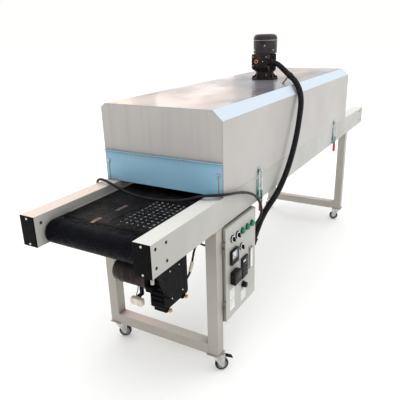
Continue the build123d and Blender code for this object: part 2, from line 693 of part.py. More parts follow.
BOX_X = 59
BOX_HALF = 49
BOX_Z = (1214, 1304)
GLAND_X = 78
GLAND_Z = 1257
with BuildPart() as terminal_box:
    block((BOX_X, 100), (-BOX_HALF, BOX_HALF), BOX_Z)
    chamfer(terminal_box.edges().filter_by(Axis.Y).group_by(Axis.Z)[0].sort_by(Axis.X)[0], 14)
    fillet(terminal_box.edges().filter_by(Axis.Z).sort_by(Axis.X)[:2], 6)
    rod((BLOWER_X, 0, BOX_Z[0] - 1), (0, 0, 1), BODY_RADIUS + 0.05, 100, Mode.SUBTRACT)
    rod((BOX_X - 2, 20, 1262), (1, 0, 0), 9, 4)
    rod((BOX_X - 3, 20, 1262), (1, 0, 0), 5, 4, Mode.SUBTRACT)
    rod((GLAND_X, -BOX_HALF, GLAND_Z), (0, -1, 0), 18, 17)
save(terminal_box, "terminal_box")


# ---------------------------------------------------------------- control cabinet

WALL = 1.5
DOOR_HINGE_Z = (320, 600)
DEVICE_RAIL_Z = 488
# X, width and height of each contactor and terminal group
CONTROL_GEAR = ((-925, 45, 80), (-870, 45, 80), (-800, 70, 90), (-730, 40, 60))
cabinet_inside_x = (CABINET_X[0] + WALL, CABINET_X[1] - WALL)
with BuildPart() as control_cabinet:
    block(CABINET_X, CABINET_Y, CABINET_Z)
    block(cabinet_inside_x, (CABINET_Y[0] - 1, CABINET_Y[1] - WALL),
          (CABINET_Z[0] + WALL, CABINET_Z[1] - WALL), Mode.SUBTRACT)
    for x in (-930, -730):
        block((x - 15, x + 15), (-290, -236), (CABINET_Z[1], rail_bottom))
    for z in DOOR_HINGE_Z:
        block((-981.5, -980), (DOOR_AXIS[1], -270), (z - 25, z - 5.4))
        rod((*DOOR_AXIS, z - 25), (0, 0, 1), 4, 19.6)
        block((-981.5, -980), (DOOR_AXIS[1], -270), (z + 5.4, z + 25))
        rod((*DOOR_AXIS, z + 5.4), (0, 0, 1), 4, 19.6)
        rod((*DOOR_AXIS, z - 25), (0, 0, 1), 1.5, 50)
    # top-hat rail with the contactors and terminals on it
    block((-960, -700), (-229, CABINET_Y[1] - WALL), (DEVICE_RAIL_Z - 18, DEVICE_RAIL_Z + 17))
    for x, width, height in CONTROL_GEAR:
        block(around(x, width / 2), (-268, -229), around(DEVICE_RAIL_Z, height / 2))
save(control_cabinet, "control_cabinet")

DOOR_X = (-977.5, -681)
DOOR_Z = (245.5, 681.5)
SELECTORS = {"left": (-918, 620), "centre": (-870, 620), "lower": (-832, 549)}
LAMPS = ((-822, 620), (-774, 620), (-726, 620))
PILOT_BORE = 11
METER = (-909, 537)
METER_SIZE = (64, 66)
METER_BODY = 26
CONTROLLER = (-909, 440)
CONTROLLER_HALF = (31, 30)
CONTROLLER_BODY_HALF = (24, 22)
DRIVE = (-805, 437)
SPEED_KNOB = (-815, 352)
LOCK_X = (-752, -724)
LEVER_AXIS = (DOOR_FACE - 7, 498)

with BuildPart() as cabinet_door:
    block(DOOR_X, (DOOR_FACE, -301), DOOR_Z)
    fillet(cabinet_door.faces().sort_by(Axis.Y)[0].edges(), 3)
    block((DOOR_X[0] + WALL, DOOR_X[1] - WALL), (DOOR_FACE + WALL, -300),
          (DOOR_Z[0] + WALL, DOOR_Z[1] - WALL), Mode.SUBTRACT)
    for z in DOOR_HINGE_Z:
        rod((*DOOR_AXIS, z - 5), (0, 0, 1), 4, 10)
        block((DOOR_AXIS[0] + 1, DOOR_X[0] + 1), (DOOR_AXIS[1] + 2.5, DOOR_AXIS[1] + 4), (z - 5, z + 5))
        rod((*DOOR_AXIS, z - 6), (0, 0, 1), 1.55, 12, Mode.SUBTRACT)
    for x, z in (*SELECTORS.values(), *LAMPS):
        rod((x, DOOR_FACE - 1, z), (0, 1, 0), PILOT_BORE, 4, Mode.SUBTRACT)
    rod((METER[0], DOOR_FACE - 1, METER[1]), (0, 1, 0), METER_BODY, 4, Mode.SUBTRACT)
    cut = (DOOR_FACE - 1, DOOR_FACE + WALL + 1)
    body_x = around(CONTROLLER[0], CONTROLLER_BODY_HALF[0])
    body_z = around(CONTROLLER[1], CONTROLLER_BODY_HALF[1])
    block(body_x, cut, body_z, Mode.SUBTRACT)
    block(around(DRIVE[0], 24), cut, around(DRIVE[1], 45), Mode.SUBTRACT)
    block(LOCK_X, (DOOR_FACE - 4, DOOR_FACE), (400, 510))
    block((-749, -727), (DOOR_FACE - 5, DOOR_FACE - 2), (403, 507), Mode.SUBTRACT)
    for x in (-751, -727):
        block((x, x + 2), (DOOR_FACE - 9, DOOR_FACE - 3), (492, 504))
    rod((LOCK_X[0] - 1, *LEVER_AXIS), (1, 0, 0), 1.3, 30)
save(cabinet_door, "cabinet_door")

with BuildPart() as door_lock_lever:
    block((-747, -729), (DOOR_FACE - 8.5, DOOR_FACE - 5), (408, 500))
    rod((-747, *LEVER_AXIS), (1, 0, 0), 3, 18)
    rod((-748, *LEVER_AXIS), (1, 0, 0), 1.35, 20, Mode.SUBTRACT)
save(door_lock_lever, "door_lock_lever")

RING_RADIUS = 15
with BuildPart() as pilot_devices:
    # mounting rings and rear bodies of the switches and lamps, and the lamps' domed lenses
    for x, z in (*SELECTORS.values(), *LAMPS):
        rod((x, DOOR_FACE + WALL, z), (0, -1, 0), PILOT_BORE, WALL)
        rod((x, DOOR_FACE, z), (0, -1, 0), RING_RADIUS, 4)
        rod((x, DOOR_FACE + WALL, z), (0, 1, 0), 13, 24)
    for x, z in LAMPS:
        rod((x, DOOR_FACE - 4, z), (0, -1, 0), 12, 8)
        fillet(pilot_devices.faces().sort_by(Axis.Y)[0].edges(), 4)
save(pilot_devices, "pilot_devices")


def selector_knob(x, z):
    """A round base with a raised finger bar."""
    with BuildPart() as knob:
        rod((x, DOOR_FACE - 4.4, z), (0, -1, 0), 12, 6)
        block((x - 4, x + 4), (DOOR_FACE - 22, DOOR_FACE - 8), (z - 11, z + 11))
    return knob


for place, (x, z) in SELECTORS.items():
    save(selector_knob(x, z), f"selector_knob_{place}")

NEEDLE_PIVOT = (METER[0] + 19, METER[1] - 14)
with BuildPart() as ammeter_case:
    meter_x = around(METER[0], METER_SIZE[0] / 2)
    meter_z = around(METER[1], METER_SIZE[1] / 2)
    block(meter_x, (DOOR_FACE - 12, DOOR_FACE), meter_z)
    block((meter_x[0] + 5, meter_x[1] - 5), (DOOR_FACE - 9, DOOR_FACE - 3),
          (meter_z[0] + 20, meter_z[1] - 5), Mode.SUBTRACT)
    block((NEEDLE_PIVOT[0] - 7, NEEDLE_PIVOT[0] + 7), (DOOR_FACE - 9, DOOR_FACE - 3),
          (NEEDLE_PIVOT[1] - 6, meter_z[0] + 21), Mode.SUBTRACT)
    rod((METER[0], DOOR_FACE, METER[1]), (0, 1, 0), METER_BODY, 26)
    rod((NEEDLE_PIVOT[0], DOOR_FACE - 9, NEEDLE_PIVOT[1]), (0, 1, 0), 1, 6)
save(ammeter_case, "ammeter_case")

NEEDLE_LENGTH = 36
with BuildPart() as ammeter_needle:
    rod((NEEDLE_PIVOT[0], DOOR_FACE - 7, NEEDLE_PIVOT[1]), (0, 1, 0), 4, 2)
    rod((NEEDLE_PIVOT[0], DOOR_FACE - 6, NEEDLE_PIVOT[1]), (-0.87, 0, 0.5), 0.8, NEEDLE_LENGTH)
    rod((NEEDLE_PIVOT[0], DOOR_FACE - 8, NEEDLE_PIVOT[1]), (0, 1, 0), 1.05, 4, Mode.SUBTRACT)
save(ammeter_needle, "ammeter_needle")

NEAREST_FACE = -340
with BuildPart() as temperature_controller:
    case_x = around(CONTROLLER[0], CONTROLLER_HALF[0])
    block(case_x, (NEAREST_FACE, DOOR_FACE), around(CONTROLLER[1], CONTROLLER_HALF[1]))
    fillet(temperature_controller.faces().sort_by(Axis.Y)[0].edges(), 5)
    block(body_x, (DOOR_FACE, -285), body_z)
save(temperature_controller, "temperature_controller")

with BuildPart() as speed_controller:
    block(around(DRIVE[0], 30), (DOOR_FACE - 8, DOOR_FACE), around(DRIVE[1], 51.5))
    fillet(speed_controller.faces().sort_by(Axis.Y)[0].edges(), 2)
    block(around(DRIVE[0], 24), (DOOR_FACE, -285), around(DRIVE[1], 45))
save(speed_controller, "speed_controller")

with BuildPart() as speed_knob:
    rod((SPEED_KNOB[0], DOOR_FACE - 0.4, SPEED_KNOB[1]), (0, -1, 0), 16, 8)
    rod((SPEED_KNOB[0], DOOR_FACE - 8, SPEED_KNOB[1]), (0, -1, 0), 13, 14)
    fillet(speed_knob.faces().sort_by(Axis.Y)[0].edges(), 2)
save(speed_knob, "speed_knob")


# ---------------------------------------------------------------- cables and their fittings

CONDUIT_DIAMETER = 31
CABLE_DIAMETER = 12
MOTOR_CABLE_DIAMETER = 9
SPARE_GLAND_Z = (618, 645)

conduit_route = [
    (78, -66, 1257),
    (78, -96, 1257),
    (68, -134, 1252),
    (42, -174, 1238),
    (7, -215, 1216),
    (-35, -258, 1190),
    (-86, -304, 1158),
    (-143, -336, 1108),
    (-196, -342, 1040),
    (-236, -346, 964),
    (-272, -346, 895),
    (-315, -345, 832),
    (-362, -342, 772),
    (-412, -335, 716),
    (-470, -326, 668),
    (-530, -314, 634),
    (-580, -305, 597),
    (-612, -297, 550),
    (-636, -289, 505),
]
cord("blower_conduit", conduit_route, CONDUIT_DIAMETER)

belt_cable_route = [
    (-652, -302, 584),
    (-640, -312, 602),
    (-634, -322, 630),
    (-645, -328, 665),
    (-670, -330, 702),
    (-706, -329, 742),
    (-760, -326, 774),
    (-826, -321, 798),
    (-892, -318, 815),
    (-947, -317, 827),
    (-991, -300, 834),
    (-1014, -262, 834),
    (-1025, -219, 826),
    (-1029, -176, 809),
    (-1034, -130, 798),
    (-1044, -60, 791),
    (-1052, 10, 791),
    (-1056, 80, 797),
    (-1052, 150, 810),
    (-1044, 212, 826),
    (-1032, 262, 834),
    (-1020, 304, 828),
    (-1008, 326, 806),
    (-992, 334, 782),
    (-972, 332, 768),
    (-948, 328, 763),
    (-925, 328, 763),
]
cord("belt_cable", belt_cable_route, CABLE_DIAMETER)

motor_cable_route = [
    (-1190, -225, 520),
    (-1170, -225, 520),
    (-1144, -222, 532),
    (-1122, -216, 556),
    (-1102, -210, 590),
    (-1074, -205, 617),
    (-1038, -200, 622),
    (-1003, -195, 609),
    (-972, -188, 593),
    (-950, -184, 579),
    (-938, -190, 571),
    (-936, -206, 570),
]
cord("motor_cable", motor_cable_route, MOTOR_CABLE_DIAMETER)


def direction(start, end):
    return (end[0] - start[0], end[1] - start[1], end[2] - start[2])


with BuildPart() as cable_fittings:
    # angled connector of the conduit on the cabinet's side wall
    end = conduit_route[-1]
    heading = direction(conduit_route[-2], end)
    length = sqrt(sum(value * value for value in heading))
    bend = tuple(end[i] + heading[i] / length * 26 for i in range(3))
    rod(end, heading, 19, 26)
    with Locations(bend):
        Sphere(19)
    rod((CABINET_X[1], bend[1], bend[2]), (1, 0, 0), 15, bend[0] - CABINET_X[1])
    # the belt-side cable's gland, tilted up, and two capped glands above it
    end = belt_cable_route[0]
    heading = direction(belt_cable_route[1], end)
    rod(end, heading, 9, 20)
    rod((CABINET_X[1], end[1] + 8, 568), (1, 0, 0), 11, 24)
    for z in SPARE_GLAND_Z:
        rod((CABINET_X[1], -292, z), (1, 0, 0), 10, 16)
        rod((CABINET_X[1] + 16, -292, z), (1, 0, 0), 7, 10)
    # the motor cable's gland in the cabinet's back wall
    end = motor_cable_route[-1]
    heading = direction(motor_cable_route[-2], end)
    rod((end[0], CABINET_Y[1], end[2]), (0, 1, 0), 8, end[1] - CABINET_Y[1] - 3)
    rod(end, heading, 6, 6)
    # junction box on the far rail, where the belt-side cable ends
    block((-915, -825), (HALF_WIDTH, 340), (735, 791))
    fillet(cable_fittings.solids().sort_by(Axis.Y)[-1].edges().filter_by(Axis.Y), 5)
    rod((-915, 328, 763), (-1, 0, 0), 9, 10)
save(cable_fittings, "cable_fittings")
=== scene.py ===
"""Looks for a conveyor reflow oven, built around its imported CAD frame.

X runs along the conveyor with the loading end at -X, -Y is the operator's side and Z is up.
Sizes are in millimetres in the making functions, and turn into metres when a piece is finished.
"""

import math

import bmesh
import bpy
from mathutils import Matrix, Vector


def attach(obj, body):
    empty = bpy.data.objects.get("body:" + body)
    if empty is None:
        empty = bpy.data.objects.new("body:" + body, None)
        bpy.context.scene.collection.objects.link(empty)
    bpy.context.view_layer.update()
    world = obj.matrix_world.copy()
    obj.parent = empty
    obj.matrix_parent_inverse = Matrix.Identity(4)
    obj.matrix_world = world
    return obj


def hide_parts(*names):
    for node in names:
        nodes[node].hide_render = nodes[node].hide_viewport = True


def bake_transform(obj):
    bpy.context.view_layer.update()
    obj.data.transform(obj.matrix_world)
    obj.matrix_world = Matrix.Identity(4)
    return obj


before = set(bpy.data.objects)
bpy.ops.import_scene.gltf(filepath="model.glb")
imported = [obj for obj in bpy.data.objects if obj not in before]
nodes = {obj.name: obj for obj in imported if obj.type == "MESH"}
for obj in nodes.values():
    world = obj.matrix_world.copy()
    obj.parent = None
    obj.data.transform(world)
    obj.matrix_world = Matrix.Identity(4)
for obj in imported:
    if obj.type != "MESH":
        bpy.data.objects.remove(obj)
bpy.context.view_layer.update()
MM = 0.001
FACING = Matrix.Rotation(math.radians(90), 4, "X")  # turns an outline upright, to be pulled towards -Y


# ---------------------------------------------------------------- camera, lights and floor

def make_camera():
    data = bpy.data.cameras.new("camera")
    data.lens = 41.85
    data.sensor_width = 36
    camera = bpy.data.objects.new("camera", data)
    bpy.context.scene.collection.objects.link(camera)
    azimuth, elevation, roll = (math.radians(a) for a in (-59.5, 20.02, -1.59))
    back = Vector((
        math.sin(azimuth) * math.cos(elevation),
        -math.cos(azimuth) * math.cos(elevation),
        math.sin(elevation),
    ))
    level = Vector((math.cos(azimuth), math.sin(azimuth), 0))
    upright = back.cross(level)
    right = level * math.cos(roll) + upright * math.sin(roll)
    up = upright * math.cos(roll) - level * math.sin(roll)
    camera.matrix_world = Matrix((right, up, back)).transposed().to_4x4()
    camera.matrix_world.translation = (-2.5333, -1.1307, 1.4542)
    bpy.context.scene.camera = camera


def area_light(name, place, target, size, watts, color=(1, 1, 1)):
    data = bpy.data.lights.new(name, "AREA")
    data.shape = "RECTANGLE"
    data.size, data.size_y = size
    data.energy = watts
    data.color = color
    light = bpy.data.objects.new(name, data)
    bpy.context.scene.collection.objects.link(light)
    light.location = place
    light.rotation_euler = (Vector(target) - Vector(place)).to_track_quat("-Z", "Y").to_euler()
    light.visible_camera = False


def make_lights():
    sun = bpy.data.lights.new("overcast", "SUN")
    sun.energy = 0.62
    sun.angle = math.radians(100)
    overcast = bpy.data.objects.new("overcast", sun)
    bpy.context.scene.collection.objects.link(overcast)
    area_light("loading_side", (-4.2, -2.6, 2.6), (-0.6, 0, 0.7), (2.4, 2.0), 5)
    area_light("operator_side", (1.2, -4.2, 2.2), (0.2, 0, 0.8), (3.0, 2.0), 8, (0.97, 0.985, 1.0))
    area_light("chamfer_strip", (0.6, -3.4, 3.6), (0, -0.3, 1.1), (4.0, 1.0), 16, (0.86, 0.94, 1.0))
    for place, width, color, watts in (
        ((2.6, 3.6, 2.0), 1.0, (1.0, 0.72, 0.55), 4),
        ((4.3, 3.0, 2.1), 1.3, (1.0, 0.80, 0.72), 5),
        ((1.0, 4.2, 2.0), 0.8, (1.0, 0.78, 0.80), 3),
    ):
        area_light("far_panel", place, (0, 0, 1.1), (width, 1.2), watts, color)
    world = bpy.data.worlds.new("studio")
    bpy.context.scene.world = world
    world.use_nodes = True
    sky = world.node_tree.nodes["Background"]
    sky.inputs["Color"].default_value = (1.0, 1.0, 0.99, 1)
    sky.inputs["Strength"].default_value = 1.0
    bpy.context.scene.view_settings.view_transform = "Standard"


def make_floor():
    shape = bmesh.new()
    bmesh.ops.create_grid(shape, x_segments=1, y_segments=1, size=30)
    mesh = bpy.data.meshes.new("floor")
    shape.to_mesh(mesh)
    shape.free()
    floor = bpy.data.objects.new("floor", mesh)
    bpy.context.scene.collection.objects.link(floor)
    paint = Paint("floor_paper", (0.98, 0.98, 0.975), 0.9, Emission_Strength=0.06)
    paint.shader.inputs["Emission Color"].default_value = (1, 1, 1, 1)
    paint.color(paint.noise(1.5), (0.975, 0.975, 0.97), (0.985, 0.985, 0.98))
    mesh.materials.append(paint.material)


# ---------------------------------------------------------------- material graphs

class Paint:
    """A Principled material whose colour, roughness and relief come from object coordinates."""

    def __init__(self, name, color, roughness, metallic=0.0, **sockets):
        self.material = bpy.data.materials.new(name)
        self.material.use_nodes = True
        self.tree = self.material.node_tree
        self.shader = self.tree.nodes["Principled BSDF"]
        self.shader.inputs["Base Color"].default_value = (*color, 1)
        self.shader.inputs["Roughness"].default_value = roughness
        self.shader.inputs["Metallic"].default_value = metallic
        for socket, value in sockets.items():
            self.shader.inputs[socket.replace("_", " ")].default_value = value
        self.material.diffuse_color = (*color, 1)
        self.place = self.node("ShaderNodeTexCoord").outputs["Object"]

    def node(self, kind, **settings):
        made = self.tree.nodes.new(kind)
        for name, value in settings.items():
            setattr(made, name, value)
        return made

    def link(self, source, target):
        self.tree.links.new(source, target)

    def noise(self, scale, detail=3.0, stretch=(1, 1, 1), roughness=0.55):
        """Noise with about scale features a metre, drawn out by stretch."""
        mapping = self.node("ShaderNodeMapping")
        mapping.inputs["Scale"].default_value = stretch
        self.link(self.place, mapping.inputs["Vector"])
        texture = self.node("ShaderNodeTexNoise")
        texture.inputs["Scale"].default_value = scale
        texture.inputs["Detail"].default_value = detail
        texture.inputs["Roughness"].default_value = roughness
        self.link(mapping.outputs[0], texture.inputs["Vector"])
        return texture.outputs["Fac"]

    def cells(self, scale):
        texture = self.node("ShaderNodeTexVoronoi")
        texture.inputs["Scale"].default_value = scale
        self.link(self.place, texture.inputs["Vector"])
        return texture.outputs["Distance"]

    def axis(self, name, source=None):
        split = self.node("ShaderNodeSeparateXYZ")
        self.link(source or self.place, split.inputs[0])
        return split.outputs[name]

    def math(self, operation, first, second=0.0, third=0.0):
        made = self.node("ShaderNodeMath", operation=operation)
        for socket, value in zip(made.inputs, (first, second, third)):
            if isinstance(value, (int, float)):
                socket.default_value = value
            else:
                self.link(value, socket)
        return made.outputs[0]

    def span(self, value, low, high, start=0.0, end=1.0):
        """value from low..high mapped smoothly onto start..end."""
        made = self.node("ShaderNodeMapRange", interpolation_type="SMOOTHSTEP")
        self.link(value, made.inputs["Value"])
        for socket, number in zip(("From Min", "From Max", "To Min", "To Max"), (low, high, start, end)):
            made.inputs[socket].default_value = number
        return made.outputs["Result"]

    def blend(self, factor, first, second, kind="MIX"):
        made = self.node("ShaderNodeMix", data_type="RGBA", blend_type=kind)
        self.link(factor, made.inputs[0])
        for socket, value in ((made.inputs[6], first), (made.inputs[7], second)):
            if isinstance(value, tuple):
                socket.default_value = (*value, 1)
            else:
                self.link(value, socket)
        return made.outputs[2]

    def color(self, factor, first, second, low=0.35, high=0.65):
        """Colour the surface between two tones, and return that colour's socket."""
        shade = self.blend(self.span(factor, low, high), first, second)
        self.link(shade, self.shader.inputs["Base Color"])
        return shade

    def set_color(self, source):
        self.link(source, self.shader.inputs["Base Color"])

    def set_roughness(self, source):
        self.link(source, self.shader.inputs["Roughness"])

    def relief(self, *layers, edge=0.0):
        """Bumps from (height, depth in metres, strength) layers, over edges rounded by edge metres."""
        normal = None
        if edge:
            rounded = self.node("ShaderNodeBevel", samples=4)
            rounded.inputs["Radius"].default_value = edge
            normal = rounded.outputs[0]
        for height, depth, strength in layers:
            bump = self.node("ShaderNodeBump")
            bump.inputs["Distance"].default_value = depth
            bump.inputs["Strength"].default_value = strength
            self.link(height, bump.inputs["Height"])
            if normal is not None:
                self.link(normal, bump.inputs["Normal"])
            normal = bump.outputs[0]
        self.link(normal, self.shader.inputs["Normal"])

    def corner_shade_mask(self, reach, low=0.35, high=0.95):
        """Mask for painted shade: 0 in corners closer than reach and 1 on open faces."""
        shade = self.node("ShaderNodeAmbientOcclusion", samples=4)
        shade.inputs["Distance"].default_value = reach
        return self.span(shade.outputs["AO"], low, high)


def powder_coat(name, light, dark, corner, edge):
    """Textured powder coat: faint clouds, fine orange peel, a pepper of specks, painted shade in corners, and
    painted light on upward faces that turns pinkish towards the far side.
    """
    roughness = 0.42
    paint = Paint(name, light, roughness)
    clouds = paint.blend(paint.span(paint.noise(2.3, 4), 0.35, 0.65), light, dark)
    specks = paint.span(paint.noise(620, 1), 0.60, 0.72)
    normal = paint.node("ShaderNodeTexCoord").outputs["Normal"]
    # Painted light: upward faces are painted 1.75 times lighter, and towards the far side they take a pinkish
    # painted reflection.
    upward = paint.span(paint.axis("Z", normal), 0.80, 0.95)
    far_side = paint.span(paint.axis("Y"), -0.05, 0.10)
    top_light = paint.blend(far_side, tuple(c * 1.75 for c in light), (0.80, 0.66, 0.58))
    top_lit_clouds = paint.blend(upward, clouds, top_light)
    specked = paint.blend(specks, top_lit_clouds, tuple(c * 0.80 for c in dark))
    # Painted shade: corners are darkened towards the corner colour.
    paint.set_color(paint.blend(paint.corner_shade_mask(0.05), corner, specked))
    paint.set_roughness(paint.span(paint.noise(6, 5), 0.3, 0.7, roughness - 0.07, roughness + 0.09))
    paint.relief((paint.noise(700, 2), 0.0004, 0.28), edge=edge)
    return paint.material


def hood_paint():
    """The hood's coat: satin on the walls with faint upright streaks and a painted bluish highlight on the
    slanted shoulders, painted shade in its corners, and polished on the flat top, whose banded colours, glare
    and warm patches are painted reflections.
    """
    light, dark = (0.455, 0.437, 0.420), (0.425, 0.405, 0.39)
    paint = Paint("hood_paint", light, 0.4, Specular_IOR_Level=0.22)
    normal = paint.node("ShaderNodeTexCoord").outputs["Normal"]
    facing_up = paint.span(paint.axis("Z", normal), 0.80, 0.95)
    facing_end = paint.span(paint.math("ABSOLUTE", paint.axis("X", normal)), 0.8, 0.95)
    slanted = paint.span(paint.axis("Z", normal), 0.40, 0.60)
    clouds = paint.blend(paint.span(paint.noise(1.8, 4), 0.35, 0.65), light, dark)
    streaks = paint.span(paint.noise(34, 4, (1, 1, 0.04)), 0.40, 0.66)
    streaked = paint.blend(paint.math("MULTIPLY", streaks, facing_end), clouds, (0.415, 0.392, 0.382))
    # Painted reflections: the flat top is coloured in dark bands, with a peach glare painted towards the
    # loading end's far side and warm patches towards the exit end.
    bands = paint.noise(1.25, 2, (1.0, 2.2, 1))
    top = paint.blend(paint.span(bands, 0.42, 0.60), (0.20, 0.195, 0.215), (0.33, 0.27, 0.245))
    far_left = paint.span(paint.axis("X"), -0.95, -0.45, 1.0, 0.0)
    glare = paint.math("MULTIPLY", far_left, paint.span(paint.axis("Y"), -0.15, 0.2))
    top = paint.blend(glare, top, (0.60, 0.47, 0.38))
    exit_end = paint.math("MULTIPLY", paint.span(paint.axis("X"), 0.05, 0.45), paint.span(bands, 0.36, 0.56))
    top = paint.blend(exit_end, top, (0.58, 0.40, 0.31))
    # Painted highlight: slanted shoulder faces are painted a pale bluish white.
    chamfer_highlighted = paint.blend(slanted, streaked, (0.58, 0.66, 0.74))
    walls = paint.blend(facing_up, chamfer_highlighted, top)
    # Painted shade: corners are darkened to a dark brown-grey.
    paint.set_color(paint.blend(paint.corner_shade_mask(0.04), (0.20, 0.19, 0.18), walls))
    smudges = paint.span(paint.noise(5, 5, (0.5, 1, 1)), 0.35, 0.65, 0.13, 0.27)
    satin = paint.span(paint.noise(8, 5), 0.3, 0.7, 0.36, 0.50)
    roughness = paint.math("MULTIPLY_ADD", facing_up, paint.math("SUBTRACT", smudges, satin), satin)
    paint.set_roughness(roughness)
    peel = paint.math("MULTIPLY", paint.noise(640, 2), paint.math("SUBTRACT", 1.0, facing_up))
    dents = paint.noise(2.2, 2)
    paint.relief((dents, 0.004, 0.35), (peel, 0.0004, 0.25), edge=0.0015)
    return paint.material


def enamel(name, base, warm, roughness, grain=260, depth=0.0005, shine=0.12):
    """Dark enamel over a casting: slightly lumpy, with worn warmer patches."""
    paint = Paint(name, base, roughness, Specular_IOR_Level=shine)
    worn = paint.blend(paint.span(paint.noise(24, 5), 0.48, 0.68), base, warm)
    specks = paint.span(paint.noise(520, 1), 0.64, 0.75)
    paint.set_color(paint.blend(specks, worn, tuple(c * 1.7 for c in warm)))
    paint.set_roughness(paint.span(paint.noise(40, 4), 0.3, 0.7, roughness - 0.06, roughness + 0.16))
    paint.relief((paint.noise(grain, 3), depth, 0.4), edge=0.001)
    return paint.material


def cloudy(name, base, roughness, tones, clouds, gloss, smears, *grains, reach=(0.35, 0.65), metallic=0.0,
           edge=0.0, **sockets):
    """Two tones and two roughnesses in clouds of noise, with a relief of (noise, depth, strength) grains."""
    paint = Paint(name, base, roughness, metallic, **sockets)
    paint.color(paint.noise(*clouds), *tones, *reach)
    paint.set_roughness(paint.span(paint.noise(*smears), 0.3, 0.7, *gloss))
    if grains:
        layers = [(paint.noise(*grain), depth, strength) for grain, depth, strength in grains]
        paint.relief(*layers, edge=edge)
    return paint.material


def metal(name, base, tint, roughness):
    """Worked metal with patches of tint and fine scratches."""
    return cloudy(name, base, roughness, (base, tint), (30, 5), (roughness - 0.08, roughness + 0.14), (60, 4),
                  ((300, 2), 0.0002, 0.3), metallic=1.0, edge=0.0006)


def moulded(name, base, worn, roughness=0.38, grain=900):
    """Moulded plastic with a spark-eroded grain and handling shine."""
    return cloudy(name, base, roughness, (base, worn), (45, 4), (roughness - 0.08, roughness + 0.12), (25, 4),
                  ((grain, 2), 0.0002, 0.35), edge=0.0008, Specular_IOR_Level=0.10)


def rubber(name, base, dust, roughness=0.6):
    """Rubber with a dusty bloom."""
    return cloudy(name, base, roughness, (base, dust), (55, 6), (roughness - 0.1, roughness + 0.12), (90, 4),
                  ((700, 2), 0.0002, 0.4), reach=(0.45, 0.75), Specular_IOR_Level=0.2)


# ---------------------------------------------------------------- mesh making, in millimetres

def add_box(shape, x, y, z, bevel=0.0, segments=2):
    """A box between two limits on each axis, with its edges rounded."""
    middle = Vector(((x[0] + x[1]) / 2, (y[0] + y[1]) / 2, (z[0] + z[1]) / 2))
    size = (abs(x[1] - x[0]), abs(y[1] - y[0]), abs(z[1] - z[0]))
    place = Matrix.Translation(middle) @ Matrix.Diagonal((*size, 1))
    made = bmesh.ops.create_cube(shape, size=1, matrix=place)
    if bevel:
        edges = list({edge for vert in made["verts"] for edge in vert.link_edges})
        bmesh.ops.bevel(
            shape, geom=edges, offset=bevel, segments=segments, profile=0.6, affect="EDGES"
        )


def turned(start, direction):
    """A frame at start whose Z runs along direction."""
    rotation = Vector(direction).normalized().to_track_quat("Z", "Y").to_matrix().to_4x4()
    return Matrix.Translation(Vector(start)) @ rotation


def add_lathe(shape, start, direction, profile, segments=40, scallop=None):
    """Turn a profile of (radius, height) points about an axis. scallop(angle) scales the radius."""
    place = turned(start, direction)
    rings = []
    for radius, height in profile:
        if radius <= 1e-6:
            rings.append([shape.verts.new(place @ Vector((0, 0, height)))])
            continue
        ring = []
        for step in range(segments):
            angle = 2 * math.pi * step / segments
            reach = radius * (scallop(angle) if scallop else 1)
            point = Vector((reach * math.cos(angle), reach * math.sin(angle), height))
            ring.append(shape.verts.new(place @ point))
        rings.append(ring)
    for lower, upper in zip(rings, rings[1:]):
        for step in range(segments):
            after = (step + 1) % segments
            if len(lower) == 1 and len(upper) == 1:
                continue
            if len(lower) == 1:
                corners = (lower[0], upper[after], upper[step])
            elif len(upper) == 1:
                corners = (lower[step], lower[after], upper[0])
            else:
                corners = (lower[step], lower[after], upper[after], upper[step])
            shape.faces.new(corners)


def add_rod(shape, start, direction, radius, length, bevel=0.6, segments=28):
    """A cylinder with eased ends."""
    profile = [(0, 0), (radius - bevel, 0), (radius, bevel), (radius, length - bevel)]
    profile += [(radius - bevel, length), (0, length)]
    add_lathe(shape, start, direction, profile, segments)


def add_pan_screw(shape, start, direction, radius):
    """A domed head with a socket in it."""
    deep, high = 0.25 * radius, 0.62 * radius
    profile = [(0, deep), (0.38 * radius, deep), (0.42 * radius, high), (0.72 * radius, 0.9 * high)]
    profile += [(0.94 * radius, 0.5 * high), (radius, 0), (0, 0)]
    add_lathe(shape, start, direction, profile, 20)


def add_hex_bolt(shape, start, direction, across, height, washer=True):
    """A chamfered hexagon head on a washer."""
    lift = 0
    if washer:
        lift = 0.18 * height
        add_rod(shape, start, direction, across * 0.72, lift, 0.2, 24)
    corner = across / math.sqrt(3)
    profile = [(0, lift), (corner, lift), (corner, lift + 0.8 * height)]
    profile += [(corner * 0.86, lift + height), (0, lift + height)]
    add_lathe(shape, start, direction, profile, 6)


def add_ring(shape, centre, direction, radius, thick, segments=36, sides=10):
    """A torus."""
    place = turned(centre, direction)
    rings = []
    for step in range(segments):
        angle = 2 * math.pi * step / segments
        ring = []
        for turn in range(sides):
            lean = 2 * math.pi * turn / sides
            reach = radius + thick * math.cos(lean)
            point = Vector((reach * math.cos(angle), reach * math.sin(angle), thick * math.sin(lean)))
            ring.append(shape.verts.new(place @ point))
        rings.append(ring)
    for step in range(segments):
        here, there = rings[step], rings[(step + 1) % segments]
        for turn in range(sides):
            after = (turn + 1) % sides
            shape.faces.new((here[turn], there[turn], there[after], here[after]))


def add_prism(shape, outline, place, depth, bevel=0.0):
    """Pull a flat outline along its frame's Z by depth."""
    low = [shape.verts.new(place @ Vector((u, v, 0))) for u, v in outline]
    high = [shape.verts.new(place @ Vector((u, v, depth))) for u, v in outline]
    shape.faces.new(list(reversed(low)))
    shape.faces.new(high)
    for step in range(len(outline)):
        after = (step + 1) % len(outline)
        shape.faces.new((low[step], low[after], high[after], high[step]))
    if bevel:
        rim = [edge for vert in low + high for edge in vert.link_edges]
        bmesh.ops.bevel(
            shape, geom=list(set(rim)), offset=bevel, segments=2, profile=0.6, affect="EDGES"
        )


